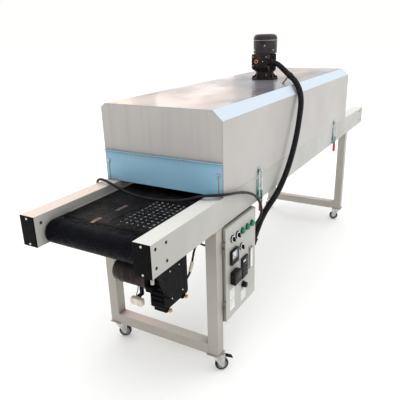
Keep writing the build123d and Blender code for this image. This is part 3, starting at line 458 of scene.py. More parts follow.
def add_tube(shape, points, radius, sides=20, closed_ends=True):
    """A tube along points; radius is a number or one number a point."""
    radii = radius if isinstance(radius, (list, tuple)) else [radius] * len(points)
    points = [Vector(point) for point in points]
    heading = (points[1] - points[0]).normalized()
    across = heading.orthogonal().normalized()
    rings = []
    for index, point in enumerate(points):
        before = points[max(index - 1, 0)]
        after = points[min(index + 1, len(points) - 1)]
        turned_heading = (after - before).normalized()
        across = (heading.rotation_difference(turned_heading) @ across).normalized()
        heading = turned_heading
        side = heading.cross(across)
        ring = []
        for step in range(sides):
            angle = 2 * math.pi * step / sides
            reach = across * math.cos(angle) + side * math.sin(angle)
            ring.append(shape.verts.new(point + reach * radii[index]))
        rings.append(ring)
    for lower, upper in zip(rings, rings[1:]):
        for step in range(sides):
            after = (step + 1) % sides
            shape.faces.new((lower[step], lower[after], upper[after], upper[step]))
    if closed_ends:
        shape.faces.new(list(reversed(rings[0])))
        shape.faces.new(rings[-1])


def finish_piece(name, shape, material, body, replaces=(), scale=MM, crease=32):
    """Turn a mesh in millimetres into a named piece that rides on a body."""
    bmesh.ops.scale(shape, vec=(scale, scale, scale), verts=shape.verts)
    bmesh.ops.recalc_face_normals(shape, faces=shape.faces)
    shape.normal_update()
    for face in shape.faces:
        face.smooth = True
    for edge in shape.edges:
        if len(edge.link_faces) == 2 and edge.calc_face_angle(0) > math.radians(crease):
            edge.smooth = False
    mesh = bpy.data.meshes.new(name)
    shape.to_mesh(mesh)
    shape.free()
    mesh.materials.append(material)
    piece = bpy.data.objects.new(name, mesh)
    bpy.context.scene.collection.objects.link(piece)
    if body:
        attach(piece, body)
    if replaces:
        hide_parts(*replaces)
    return piece

def piece(name, finish, body, slot, parts, replaces=()):
    """Make a piece from parts, each an adding function with its arguments."""
    shape = bmesh.new()
    for add, *settings in parts:
        add(shape, *settings)
    finish_piece(name, shape, finish, body, replaces)


def circle(count, reach, start=0.0):
    """(across, up) offsets of points evenly round a circle, from an angle in degrees."""
    angles = [math.radians(start) + 2 * math.pi * turn / count for turn in range(count)]
    return [(reach * math.cos(angle), reach * math.sin(angle)) for angle in angles]


def level(degrees):
    """The level direction at an angle from X."""
    angle = math.radians(degrees)
    return Vector((math.cos(angle), math.sin(angle), 0))


def teeth(count, depth):
    """A scallop of square teeth for a turned piece."""
    return lambda angle: 1 - depth * (math.cos(count * angle) > 0)


def fin_frame(ahead, foot, thick):
    """A frame for a fin that stands at foot, with its outline's X along ahead and its Y upwards."""
    aside = Vector((-ahead.y, ahead.x, 0))
    place = Matrix((ahead, Vector((0, 0, 1)), -aside)).transposed().to_4x4()
    place.translation = Vector(foot) + aside * (thick / 2)
    return place


# ---------------------------------------------------------------- finishes

def gate_paint():
    """Light blue satin coat, paler on the folded lip as a painted highlight, rubbed at its edges, with
    painted shade in its corners.
    """
    blue, pale = (0.245, 0.45, 0.60), (0.36, 0.58, 0.72)
    paint = Paint("gate_paint", blue, 0.38)
    clouds = paint.blend(paint.span(paint.noise(4, 4), 0.35, 0.65), blue, (0.225, 0.42, 0.57))
    # Painted highlight: the folded lip above 0.95 m is painted a paler blue.
    lip = paint.span(paint.axis("Z"), 0.948, 0.956)
    marks = paint.span(paint.noise(70, 5, (1, 1, 0.15)), 0.62, 0.80)
    rubbed = paint.blend(marks, clouds, (0.38, 0.56, 0.68))
    # Painted shade: corners are darkened to a deep blue.
    paint.set_color(paint.blend(paint.corner_shade_mask(0.03), (0.08, 0.15, 0.20), paint.blend(lip, rubbed, pale)))
    paint.set_roughness(paint.span(paint.noise(9, 4), 0.3, 0.7, 0.30, 0.46))
    paint.relief((paint.noise(640, 2), 0.0004, 0.22), (paint.noise(3, 2), 0.004, 0.3), edge=0.0012)
    return paint.material


def liner_steel():
    """Heat-stained liner sheet, straw and blue in bands."""
    paint = Paint("liner_steel", (0.33, 0.31, 0.28), 0.34, metallic=0.9)
    tint = paint.blend(paint.span(paint.noise(5, 5), 0.35, 0.65), (0.30, 0.29, 0.28), (0.34, 0.25, 0.15))
    paint.set_color(paint.blend(paint.span(paint.noise(3, 3), 0.55, 0.75), tint, (0.12, 0.14, 0.20)))
    paint.set_roughness(paint.span(paint.noise(40, 4, (0.1, 1, 1)), 0.3, 0.7, 0.24, 0.46))
    paint.relief((paint.noise(200, 2, (0.1, 1, 1)), 0.0003, 0.3))
    return paint.material


def quartz():
    """Milky quartz heater tube with a coil's shade inside."""
    paint = Paint("heater_quartz", (0.72, 0.66, 0.58), 0.18, Coat_Weight=0.6, Coat_Roughness=0.08)
    coil = paint.math("PINGPONG", paint.axis("Y"), 0.003)
    paint.set_color(paint.blend(paint.span(coil, 0.0008, 0.0022), (0.30, 0.20, 0.13), (0.76, 0.71, 0.63)))
    paint.set_roughness(paint.span(paint.noise(80, 3), 0.3, 0.7, 0.12, 0.28))
    return paint.material


def belt_mesh():
    """Coated glass-fibre mesh: open cells between threads, closed hems, and ribs where it wraps a roller,
    painted black in the grooves as shade and faintly bluish on the ridges as highlight.
    """
    paint = Paint("belt_mesh", (0.010, 0.010, 0.011), 0.34, Specular_IOR_Level=0.04)
    place = paint.node("ShaderNodeUVMap").outputs["UV"]
    along, across = paint.axis("X", place), paint.axis("Y", place)
    cell_across = paint.math("PINGPONG", across, 0.0025)
    cell_along = paint.math("PINGPONG", along, 0.0020)
    warp = paint.math("SUBTRACT", 1.0, paint.span(cell_across, 0.0006, 0.0013))
    weft = paint.math("SUBTRACT", 1.0, paint.span(cell_along, 0.0004, 0.0009))
    threads = paint.math("MAXIMUM", warp, weft)
    hem = paint.span(paint.math("ABSOLUTE", across), HEM_FROM * MM, (HEM_FROM + 0.5) * MM)
    wrapped = paint.span(paint.math("ABSOLUTE", paint.axis("X")), 1.338, 1.362)
    solid = paint.math("MAXIMUM", paint.math("MAXIMUM", threads, hem), wrapped)
    paint.link(paint.span(solid, 0.0, 1.0, 0.10, 0.86), paint.shader.inputs["Alpha"])
    glaze = paint.span(paint.noise(18, 5), 0.40, 0.70)
    flat = paint.blend(glaze, (0.005, 0.004, 0.005), (0.013, 0.011, 0.011))
    rib = paint.span(paint.math("PINGPONG", across, 0.0046), 0.0012, 0.0034)
    # Painted shade and highlight: where the belt wraps a roller, rib grooves are black and ridges faintly
    # bluish.
    paint.set_color(paint.blend(wrapped, flat, paint.blend(rib, (0.0, 0.0, 0.0), (0.009, 0.010, 0.016))))
    paint.set_roughness(paint.span(paint.noise(30, 4), 0.3, 0.7, 0.28, 0.46))
    paint.relief((threads, 0.0006, 0.5), (paint.math("MULTIPLY", rib, wrapped), 0.0030, 1.0))
    return paint.material


def roller_finish():
    """Ribbed black rubber on the drum, worn bright on the steel shaft inside it; the ribs' grooves are
    painted darker as shade and their ridges a faint bluish highlight.
    """
    paint = Paint("ribbed_roller", (0.02, 0.02, 0.022), 0.4, Specular_IOR_Level=0.12)
    from_axis = paint.math("SUBTRACT", paint.axis("Z"), ROLLER_Z * MM)
    end_ways = paint.math("SUBTRACT", paint.math("ABSOLUTE", paint.axis("X")), ROLLER_X * MM)
    square = paint.math("MULTIPLY", from_axis, from_axis)
    reach = paint.math("SQRT", paint.math("MULTIPLY_ADD", end_ways, end_ways, square))
    drum = paint.span(reach, 0.036, 0.038)
    rib = paint.span(paint.math("PINGPONG", paint.axis("Y"), 0.0025), 0.0006, 0.0016)
    # Painted highlight and shade: ridges take a faintly bluish tone in noise patches, and grooves are painted
    # darker.
    dust = paint.span(paint.noise(35, 5), 0.45, 0.7)
    dusty = paint.blend(dust, (0.006, 0.006, 0.008), (0.014, 0.015, 0.020))
    grooved = paint.blend(rib, (0.004, 0.004, 0.005), dusty)
    paint.set_color(paint.blend(drum, (0.55, 0.55, 0.55), grooved))
    paint.link(paint.math("SUBTRACT", 1.0, drum), paint.shader.inputs["Metallic"])
    paint.set_roughness(paint.span(paint.noise(60, 4), 0.3, 0.7, 0.24, 0.42))
    paint.relief((paint.math("MULTIPLY", rib, drum), 0.0014, 1.0))
    return paint.material


def bed_steel():
    """Slider bed of dark rolled sheet: browned in the middle, with a smooth black plate by the far side."""
    paint = Paint("bed_steel", (0.04, 0.036, 0.034), 0.42, metallic=0.2, Specular_IOR_Level=0.2)
    x, y = paint.axis("X"), paint.axis("Y")
    rolled = paint.blend(paint.span(paint.noise(14, 5, (0.3, 1, 1)), 0.35, 0.65),
                         (0.075, 0.070, 0.072), (0.050, 0.045, 0.045))
    browned = paint.blend(paint.span(paint.noise(6, 4), 0.45, 0.65), rolled, (0.050, 0.036, 0.030))
    in_patch = paint.math("MULTIPLY", paint.span(x, -1.128, -1.124, 1, 0), paint.span(x, -1.330, -1.326))
    far_half = paint.math("MULTIPLY", in_patch, paint.span(y, 0.072, 0.076))
    near_half = paint.math("MULTIPLY", in_patch, paint.span(y, 0.028, 0.024, 0, 1))
    plated = paint.blend(far_half, browned, (0.014, 0.013, 0.015))
    paint.set_color(paint.blend(near_half, plated, (0.022, 0.014, 0.011)))
    paint.set_roughness(paint.span(paint.noise(40, 4), 0.3, 0.7, 0.30, 0.52))
    paint.relief((paint.noise(90, 4), 0.0004, 0.35))
    return paint.material


def lens_green():
    """Pebbled green lens, with darker clouds."""
    paint = Paint("lens_green", (0.0, 0.22, 0.09), 0.16, Coat_Weight=0.2, Coat_Roughness=0.05,
                  Specular_IOR_Level=0.3)
    paint.color(paint.noise(140, 3), (0.0, 0.24, 0.10), (0.0, 0.15, 0.06))
    paint.set_roughness(paint.span(paint.noise(90, 3), 0.3, 0.7, 0.10, 0.24))
    paint.relief((paint.cells(420), 0.0004, 0.4))
    return paint.material


ROLLER_X = 1375
ROLLER_Z = 732
BELT_RADIUS = 47
BELT_HALF = 222
HEM_FROM = 205

sheath = cloudy("cable_sheath", (0.008, 0.008, 0.010), 0.30,
                ((0.006, 0.006, 0.008), (0.016, 0.017, 0.021)), (60, 5),
                (0.26, 0.46), (40, 4), ((420, 2), 0.0003, 0.3), Specular_IOR_Level=0.16)
conduit_plastic = cloudy("conduit_plastic", (0.008, 0.008, 0.009), 0.36,
                         ((0.006, 0.006, 0.008), (0.024, 0.026, 0.030)), (85, 5), (0.32, 0.54), (60, 4),
                         ((900, 2), 0.0002, 0.3), reach=(0.5, 0.75), Specular_IOR_Level=0.14)
copper_tape = cloudy("copper_tape", (0.20, 0.105, 0.08), 0.40,
                     ((0.24, 0.125, 0.095), (0.10, 0.055, 0.045)), (60, 5),
                     (0.28, 0.50), (90, 4), ((160, 3), 0.0003, 0.5), metallic=0.3)
cream = cloudy("cream_plastic", (0.62, 0.56, 0.47), 0.4, ((0.66, 0.60, 0.52), (0.50, 0.43, 0.34)), (70, 4),
               (0.32, 0.5), (40, 4), ((500, 2), 0.0002, 0.3), edge=0.0008)
red_grip = cloudy("grip_rubber", (0.52, 0.010, 0.022), 0.32,
                  ((0.56, 0.010, 0.025), (0.34, 0.004, 0.012)), (70, 4),
                  (0.26, 0.46), (60, 4), ((300, 3), 0.0003, 0.3), Coat_Weight=0.3, Coat_Roughness=0.2)
chrome = cloudy("chrome", (0.86, 0.87, 0.89), 0.10, ((0.90, 0.91, 0.93), (0.78, 0.79, 0.81)), (90, 3),
                (0.06, 0.16), (120, 4), metallic=1.0)
dial_card = cloudy("dial_card", (0.80, 0.81, 0.87), 0.5, ((0.84, 0.85, 0.91), (0.74, 0.75, 0.83)), (30, 3),
                   (0.42, 0.58), (80, 3), ((1500, 2), 0.0001, 0.3))
label_film = cloudy("label_film", (0.66, 0.66, 0.64), 0.33,
                    ((0.70, 0.70, 0.68), (0.58, 0.575, 0.56)), (26, 4),
                    (0.26, 0.42), (60, 4), ((90, 3), 0.0002, 0.3))
clear_window = cloudy("clear_window", (0.9, 0.92, 0.95), 0.05,
                      ((0.92, 0.94, 0.97), (0.84, 0.87, 0.92)), (50, 3),
                      (0.03, 0.10), (120, 3), Coat_Weight=0.5, Coat_Roughness=0.04, Alpha=0.10)
zinc = metal("zinc_plate", (0.22, 0.42, 0.40), (0.14, 0.30, 0.30), 0.30)
bright = metal("bright_steel", (0.72, 0.72, 0.72), (0.56, 0.56, 0.57), 0.24)
copper = metal("copper", (0.72, 0.36, 0.25), (0.50, 0.22, 0.15), 0.28)
brass = metal("brass", (0.70, 0.46, 0.24), (0.52, 0.33, 0.18), 0.30)
dimple_shine = metal("dimple_shine", (0.16, 0.145, 0.14), (0.08, 0.07, 0.068), 0.30)
fork_steel = metal("fork_steel", (0.60, 0.60, 0.61), (0.42, 0.41, 0.40), 0.32)
satin_black = enamel("satin_black", (0.004, 0.004, 0.005), (0.008, 0.006, 0.006), 0.30, 380, 0.0003, 0.03)
motor_enamel = enamel("motor_enamel", (0.022, 0.017, 0.017), (0.060, 0.038, 0.030), 0.34)
cast_enamel = enamel("cast_enamel", (0.016, 0.012, 0.012), (0.050, 0.029, 0.023), 0.30, 190, 0.0008)
cowl_enamel = enamel("cowl_enamel", (0.016, 0.012, 0.015), (0.050, 0.028, 0.024), 0.22, 420, 0.0002, 0.30)
# The third colour of each coat is the painted shade laid into its corners.
grey_coat = powder_coat("grey_coat", (0.43, 0.425, 0.402), (0.375, 0.368, 0.345), (0.17, 0.155, 0.135),
                        0.0012)
leg_coat = powder_coat("leg_coat", (0.40, 0.382, 0.345), (0.34, 0.315, 0.275), (0.15, 0.11, 0.075), 0.002)
black_plastic = moulded("black_plastic", (0.006, 0.006, 0.007), (0.016, 0.016, 0.018))
ink_black = moulded("ink_black", (0.012, 0.012, 0.014), (0.03, 0.03, 0.032), 0.5)
gloss_black = moulded("gloss_black", (0.004, 0.004, 0.005), (0.010, 0.010, 0.010), 0.16, 300)
key_grey = moulded("key_grey", (0.022, 0.022, 0.024), (0.04, 0.04, 0.042), 0.45)
white_plastic = moulded("white_plastic", (0.78, 0.78, 0.75), (0.68, 0.68, 0.65), 0.3)
digit_red = moulded("digit_segments", (0.20, 0.03, 0.02), (0.12, 0.02, 0.015), 0.4)
rim_grey = moulded("rim_plastic", (0.20, 0.20, 0.20), (0.30, 0.30, 0.29), 0.42)
seal_rubber = rubber("seal_rubber", (0.02, 0.02, 0.02), (0.06, 0.06, 0.058))
tyre_rubber = rubber("tyre_rubber", (0.016, 0.016, 0.017), (0.075, 0.070, 0.065), 0.55)

for cad_finish, cad_nodes in (
    (hood_paint(), ("hood_shell", "hood_end_panels")),
    (gate_paint(), ("gate_front", "gate_rear")),
    (liner_steel(), ("hood_liner",)),
    (quartz(), ("heater_tubes",)),
    (grey_coat, ("rail_near", "rail_far", "control_cabinet", "cabinet_door")),
    (leg_coat, ("leg_frame_front", "leg_frame_rear")),
    (zinc, ("hood_hinge_lower", "hood_hinge_upper", "latch_bases", "latch_catches",
            "latch_handle_front", "latch_handle_rear")),
    (bright, ("latch_hook_front", "latch_hook_rear", "gearmotor_sprocket", "blower_rotor")),
    (roller_finish(), ("drive_roller", "idler_roller")),
    (bed_steel(), ("slider_bed",)),
    (satin_black, ("bearing_blocks", "gearbox_housing", "chain_guard",
                   "caster_brake_front_near", "caster_brake_front_far")),
    (ink_black, ("ammeter_needle",)),
    (white_plastic, ("door_lock_lever",)),
    (black_plastic, ("cable_fittings",)),
    (fork_steel, ("caster_fork_front_near", "caster_fork_front_far", "caster_fork_rear_near",
                  "caster_fork_rear_far")),
):
    for cad_node in cad_nodes:
        nodes[cad_node].data.materials.clear()
        nodes[cad_node].data.materials.append(cad_finish)


# ---------------------------------------------------------------- cords

CONDUIT_CRESTS = 0.0148
RIB_PITCH = 0.0052
RIB_DEPTH = 0.0016

CONDUIT_ROUTE = [
    (0.078, -0.066, 1.257), (0.075, -0.090, 1.256), (0.054, -0.122, 1.246), (0.026, -0.156, 1.229),
    (-0.004, -0.192, 1.209), (-0.044, -0.234, 1.192), (-0.096, -0.281, 1.169), (-0.140, -0.318, 1.128),
    (-0.176, -0.337, 1.080), (-0.208, -0.343, 1.026), (-0.238, -0.346, 0.962), (-0.272, -0.346, 0.895),
    (-0.315, -0.345, 0.832), (-0.362, -0.342, 0.772), (-0.412, -0.335, 0.716), (-0.470, -0.326, 0.668),
    (-0.530, -0.314, 0.634), (-0.580, -0.305, 0.597), (-0.612, -0.297, 0.550), (-0.636, -0.289, 0.505),
]
BELT_CABLE_ROUTE = [
    (-0.652, -0.302, 0.584), (-0.640, -0.312, 0.602), (-0.634, -0.322, 0.630), (-0.645, -0.328, 0.665),
    (-0.670, -0.330, 0.702), (-0.706, -0.329, 0.742), (-0.760, -0.326, 0.774), (-0.826, -0.321, 0.798),
    (-0.892, -0.318, 0.815), (-0.947, -0.317, 0.827), (-0.991, -0.300, 0.834), (-1.014, -0.262, 0.834),
    (-1.025, -0.219, 0.826), (-1.029, -0.176, 0.809), (-1.034, -0.130, 0.798), (-1.044, -0.060, 0.791),
    (-1.052, 0.010, 0.791), (-1.056, 0.080, 0.797), (-1.052, 0.150, 0.810), (-1.044, 0.212, 0.826),
    (-1.032, 0.262, 0.834), (-1.020, 0.304, 0.828), (-1.008, 0.326, 0.806), (-0.992, 0.334, 0.782),
    (-0.972, 0.332, 0.768), (-0.948, 0.328, 0.763), (-0.925, 0.328, 0.763),
]
MOTOR_CABLE_ROUTE = [
    (-1.190, -0.225, 0.520), (-1.170, -0.227, 0.520), (-1.142, -0.232, 0.531), (-1.117, -0.231, 0.556),
    (-1.096, -0.226, 0.588), (-1.070, -0.219, 0.614), (-1.036, -0.211, 0.622), (-1.003, -0.200, 0.611),
    (-0.972, -0.190, 0.594), (-0.950, -0.184, 0.579), (-0.938, -0.190, 0.571), (-0.936, -0.206, 0.570),
]


def route_curve(name, route):
    """A smooth NURBS line with the route's points as its control points."""
    data = bpy.data.curves.new(name, "CURVE")
    data.dimensions = "3D"
    line = data.splines.new("NURBS")
    line.points.add(len(route) - 1)
    for point, place in zip(line.points, route):
        point.co = (*place, 1)
    line.order_u = 3
    line.use_endpoint_u = True
    line.resolution_u = 14
    curve = bpy.data.objects.new(name, data)
    bpy.context.scene.collection.objects.link(curve)
    return curve


def points_along(route, spacing):
    """Points read from the route's NURBS line, spacing metres apart."""
    curve = route_curve("route_reader", route)
    bpy.context.view_layer.update()
    mesh = bpy.data.meshes.new_from_object(curve)
    line = [vert.co.copy() for vert in mesh.vertices]
    bpy.data.objects.remove(curve)
    bpy.data.meshes.remove(mesh)
    found = [line[0]]
    spare = 0.0
    for start, end in zip(line, line[1:]):
        run = (end - start).length
        travelled = spacing - spare
        while travelled <= run:
            found.append(start.lerp(end, travelled / run))
            travelled += spacing
        spare = run - (travelled - spacing)
    found.append(line[-1])
    return found


def make_cable(name, route, diameter):
    """A plain sheathed cable on its own curve."""
    cable = route_curve(name, route)
    cable.data.bevel_depth = diameter / 2
    cable.data.bevel_resolution = 5
    cable.data.use_fill_caps = True
    cable.data.materials.append(sheath)
    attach(cable, "root")
    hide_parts(name)


def make_conduit():
    """The blower's ribbed conduit: each rib is a rise and fall of the tube's radius."""
    steps = 4
    points = points_along(CONDUIT_ROUTE, RIB_PITCH / steps)
    radii = []
    for index in range(len(points)):
        phase = (index % steps) / steps
        radii.append(CONDUIT_CRESTS - RIB_DEPTH * (0.5 - 0.5 * math.cos(2 * math.pi * phase)))
    shape = bmesh.new()
    add_tube(shape, points, radii, sides=26)
    conduit = finish_piece("conduit", shape, conduit_plastic, None, ["blower_conduit"],
                           scale=1.0, crease=60)
    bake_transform(conduit)


make_camera()
make_lights()
make_floor()
make_conduit()
make_cable("belt_cable", BELT_CABLE_ROUTE, 0.012)
make_cable("motor_cable", MOTOR_CABLE_ROUTE, 0.009)


# ---------------------------------------------------------------- hood, gates and rails

RAIL_END_X = 1460
CAP_THICK = 3
RAIL_Y = (228, 300)
RAIL_Z = (693, 815)
GATE_STUD_Y = 279
GATE_STUD_Z = 905
HOOD_X = (-964, 920)
HOOD_TOP = 1160
HINGE_X = (-700, 0, 650)


def make_rail_ends():
    """Black end plates with bright socket screws, hole bushes, and the stop tab under the near rail."""
    plates, screws, bushes = [], [], []
    bush = [(3.3, 1.0), (4.2, 1.2), (5.6, 0.9), (6.0, 0.1), (6.0, -0.1), (3.3, -0.1), (3.3, 1.0)]
    for end in (-1, 1):
        for side in (-1, 1):
            face = end * (RAIL_END_X + CAP_THICK)
            y = sorted((side * RAIL_Y[0], side * RAIL_Y[1]))
            plates.append((add_box, sorted((end * RAIL_END_X, face)), y, RAIL_Z, 0.9))
            plates.append((add_box, sorted((face, face + end * 0.5)), (y[0] + 4, y[1] - 4),
                           (RAIL_Z[0] + 4, RAIL_Z[1] - 4), 0.2, 1))
            screws += [(add_pan_screw, (face, sum(y) / 2, z), (end, 0, 0), 4.6) for z in (703, 805)]
            for inset in (25, 86):
                for z in (724, 792):
                    place = (end * (RAIL_END_X - inset), side * RAIL_Y[1], z)
                    bushes.append((add_lathe, place, (0, side, 0), bush, 28))
            place = (end * (RAIL_END_X - 30), side * RAIL_Y[0], 784)
            bushes.append((add_lathe, place, (0, -side, 0), bush, 28))
    piece("end_plates", satin_black, "root", "black_paint", plates, ["rail_end_caps"])
    piece("end_plate_screws", bright, "root", "bright_steel", screws)
    piece("stop_tab", leg_coat, "root", "leg_powder_coat", [
        (add_rod, (-1452, -292, 671), (0, 0, 1), 6, 22.5, 1.2),
        (add_ring, (-1452, -292, 690), (0, 0, 1), 6.3, 1.2),
    ])
    piece("hole_bushes", satin_black, "root", "black_plastic", bushes)


def make_hood_fasteners():
    """Knurled nuts on the gates' studs, rivets along the end panels and the hinge leaves' screws."""
    nuts, rivets = [], []
    nut = [(0, 0), (5.4, 0), (5.9, 0.7), (5.9, 3.6), (5.2, 4.4), (0, 4.4)]
    for face, outward in ((HOOD_X[0], -1), (HOOD_X[1], 1)):
        ahead = (outward, 0, 0)
        for y in (-GATE_STUD_Y, GATE_STUD_Y):
            nuts.append((add_rod, (face + outward * 2.5, y, GATE_STUD_Z), ahead, 7.4, 1.4, 0.3))
            nuts.append((add_lathe, (face + outward * 3.9, y, GATE_STUD_Z), ahead, nut, 48, teeth(16, 0.05)))
        for y in (-240, -120, 0, 120, 240):
            rivets.append((add_pan_screw, (face - outward * 0.5, y, 1146), ahead, 3.0))
    piece("gate_nuts", bright, "hood", "bright_steel", nuts)
    leaves = [
        [(add_pan_screw, (hinge_x + step, y, z), (0, 1, 0), 3.4)
         for hinge_x in HINGE_X for step in (-28, 28) for z in heights]
        for y, heights in ((300, (834, 852)), (302, (780, 796)))
    ]
    piece("hood_rivets", bright, "hood", "bright_steel", rivets + leaves[0])
    piece("hinge_screws", bright, "root", "bright_steel", leaves[1])


make_rail_ends()
make_hood_fasteners()


# ---------------------------------------------------------------- conveyor

def make_belt():
    """The belt's closed loop about both rollers; its map runs in metres along and across."""
    path = []
    turns, runs = 28, 120
    for end in (1, -1):
        for step in range(runs):
            path.append((end * ROLLER_X * (2 * step / runs - 1), ROLLER_Z + end * BELT_RADIUS))
        for step in range(turns):
            angle = math.pi * step / turns
            path.append((
                end * (ROLLER_X + BELT_RADIUS * math.sin(angle)),
                ROLLER_Z + end * BELT_RADIUS * math.cos(angle),
            ))
    shape = bmesh.new()
    rows = (-BELT_HALF, -HEM_FROM, HEM_FROM, BELT_HALF)
    columns = [[shape.verts.new((x, y, z)) for y in rows] for x, z in path]
    layer = shape.loops.layers.uv.new("along_and_across")
    travelled = 0.0
    for index, here in enumerate(columns):
        there = columns[(index + 1) % len(columns)]
        far = travelled + (there[0].co - here[0].co).length
        for low, high in ((0, 1), (1, 2), (2, 3)):
            face = shape.faces.new((here[low], here[high], there[high], there[low]))
            marks = ((travelled, rows[low]), (travelled, rows[high]), (far, rows[high]), (far, rows[low]))
            for loop, (u, v) in zip(face.loops, marks):
                loop[layer].uv = (u * MM, v * MM)
        travelled = far
    finish_piece("mesh_belt", shape, belt_mesh(), "root", ["conveyor_belt"])


def make_belt_details():
    """Copper tapes on the belt, dimples pressed in the plate under it and covers over the bearings."""
    top = ROLLER_Z + BELT_RADIUS
    piece("copper_tapes", copper_tape, "root", "brass", [
        (add_box, x, (side - 8, side + 9), (top + 0.15, top + 0.6), 0.15, 1)
        for *x, side in ((-1336, -1281, 65), (-1196, -1129, 60))
    ])
    across_row, along_row = 27, 24
    dome = [(9.5, 0), (8, 0.14), (5, 0.32), (0, 0.38)]
    piece("bed_dimples", dimple_shine, "root", "inner_steel", [
        (add_lathe, (-1300 + along_row * (column + row % 2 / 2), 18 - across_row * row, 778), (0, 0, 1),
         dome, 20)
        for row in range(8) for column in range(8)
    ])
    covers, heads = [], []
    cover = [(11.5, 0), (24, 0), (24, 1.2), (20, 1.8), (12, 1.8), (11.5, 0)]
    for end in (-1, 1):
        for side in (-1, 1):
            x, y = end * ROLLER_X, side * 225
            covers.append((add_lathe, (x, y, ROLLER_Z), (0, -side, 0), cover, 36))
            for angle in (45, 135, 225, 315):
                toward = level(angle)
                place = (x + 29 * toward.x, y, ROLLER_Z + 21 * toward.y)
                heads.append((add_hex_bolt, place, (0, -side, 0), 6, 1.8))
    piece("bearing_covers", satin_black, "root", "black_paint", covers)
    piece("bearing_bolts", bright, "root", "bright_steel", heads)


make_belt()
make_belt_details()


# ---------------------------------------------------------------- gearmotor

GEARMOTOR_AXIS = (-1330, 615)
MOTOR_Y = (-200, -46)
CHAIN_PITCH = 12.7
CHAIN_ENDS = ((-1310, 580), (-1375, 732))
SPROCKET_RADIUS = 33


def make_gearmotor():
    """Finned motor with its fan cover, lug bolts and the capacitor on its bracket."""
    x, z = GEARMOTOR_AXIS
    profile = [(0, 0), (50, 0), (50, 8), (48.5, 10), (44, 10.5), (44, 16)]
    for fin in range(15):
        foot = 16.0 + 6 * fin
        profile += [(45.3, foot), (45.3, foot + 2.6), (43.4, foot + 3.2), (43.4, foot + 5.4)]
    profile += [(45, 118), (47, 120), (47, 126), (44, 127), (44, 148), (41, 153), (37, 154), (0, 154)]
    piece("gearmotor_body", motor_enamel, "root", "motor_paint",
          [(add_lathe, (x, MOTOR_Y[0], z), (0, 1, 0), profile, 64)], ["gearmotor_motor"])
    # Painted shade: black discs on the motor's end stand in for the dark insides of its fan cover's vents.
    piece("gearmotor_vents", satin_black, "root", "black_paint", [
        (add_rod, (x + across, MOTOR_Y[1] - 0.6, z + up), (0, 1, 0), 2.6, 0.8, 0.2, 12)
        for reach, count in ((12, 6), (24, 12), (34, 18)) for across, up in circle(count, reach)
    ])
    piece("gearbox_lug_bolts", brass, "root", "brass",
          [(add_hex_bolt, (bolt_x, -266, 493), (0, -1, 0), 12, 7) for bolt_x in (-1327, -1218)])
    guard_screws = ((-1345, 560), (-1276, 560), (-1350, 670), (-1292, 670))
    piece("gearmotor_screws", bright, "root", "bright_steel",
          [(add_pan_screw, (x + across, -190, z + up), (0, 1, 0), 3.2) for across, up in circle(4, 47, 45)]
          + [(add_pan_screw, (screw_x, -292, screw_z), (0, -1, 0), 3.0) for screw_x, screw_z in guard_screws])
    piece("run_capacitor", cream, "root", "leg_powder_coat", [
        (add_box, (-1376, -1355), (-176, -124), (506, 532), 3.5, 3),
        (add_box, (-1374, -1357), (-174, -126), (531, 534), 1.0),
    ])
    piece("capacitor_bracket", satin_black, "root", "black_paint", [
        (add_box, (-1354, -1352.5), (-160, -140), (508, 536), 0.4, 1),
        (add_box, (-1354, -1334), (-160, -140), (534.5, 536), 0.4, 1),
        (add_box, (-1336, -1334.5), (-160, -140), (535, 571.5), 0.4, 1),
        (add_hex_bolt, (-1344, -150, 534.5), (0, 0, -1), 7, 3),
    ])
    piece("capacitor_leads", sheath, "root", "cable_rubber", [
        (add_tube, [(-1360, y, 533), (-1359, y, 540), (-1353, y, 548), (-1346, y + 1, 556),
                    (-1342, y + 2, 566), (-1341, y + 2, 576)], 1.6, 10)
        for y in (-158, -142)
    ])


def make_sleeve():
    """The pale heat-shrink sleeve on the gearmotor's cable, with a crimped end."""
    run = [point / MM for point in points_along(MOTOR_CABLE_ROUTE, 0.002)][34:56]
    radii = [6.4 + 0.9 * math.sin(math.pi * index / (len(run) - 1)) ** 0.5 for index in range(len(run))]
    piece("cable_sleeve", cream, "root", "white_plastic", [(add_tube, run, radii, 24)])


def make_chain():
    """Roller chain: a pair of plates and a roller for each pitch, around both sprockets."""
    radius, plate = SPROCKET_RADIUS, 3.6
    low, high = (Vector(place) for place in CHAIN_ENDS)
    run = (high - low).length
    heading = (high - low).normalized()
    side = Vector((heading.y, -heading.x))
    wrap = math.pi * radius
    loop_length = 2 * run + 2 * wrap
    count = round(loop_length / CHAIN_PITCH)
    pitch = loop_length / count

    def at(distance):
        distance %= loop_length
        if distance < run:
            return low + heading * distance + side * radius
        distance -= run
        if distance < wrap:
            angle = distance / radius
            return high + side * radius * math.cos(angle) + heading * radius * math.sin(angle)
        distance -= wrap
        if distance < run:
            return high - heading * distance - side * radius
        angle = (distance - run) / radius
        return low - side * radius * math.cos(angle) - heading * radius * math.sin(angle)

    outline = []
    for end in (1, -1):
        for turn in range(7):
            angle = math.radians(-90 + 30 * turn)
            outline.append((end * (pitch / 2 + plate * math.cos(angle)), end * plate * math.sin(angle)))
    parts = []
    for link in range(count):
        here, there = at(link * pitch), at((link + 1) * pitch)
        middle = (here + there) / 2
        slope = math.atan2(there.y - here.y, there.x - here.x)
        parts.append((add_rod, (here.x, -279, here.y), (0, 1, 0), 2.0, 8, 0.3, 12))
        for y in ((-278.4, -277.2), (-272.8, -271.6)) if link % 2 else ((-277, -275.9), (-274.1, -273)):
            place = Matrix.Translation((middle.x, y[1], middle.y)) @ Matrix.Rotation(-slope, 4, "Y") @ FACING
            parts.append((add_prism, outline, place, y[1] - y[0]))
    piece("roller_chain", bright, "root", "bright_steel", parts, ["drive_chain"])


make_gearmotor()
make_sleeve()
make_chain()


# ---------------------------------------------------------------- blower on the hood

BLOWER_X = 140
BOX_Y = 49
BOX_Z = (1214, 1304)
COWL_Z = (1306, 1410)
CLIP_HEIGHT = 1.199


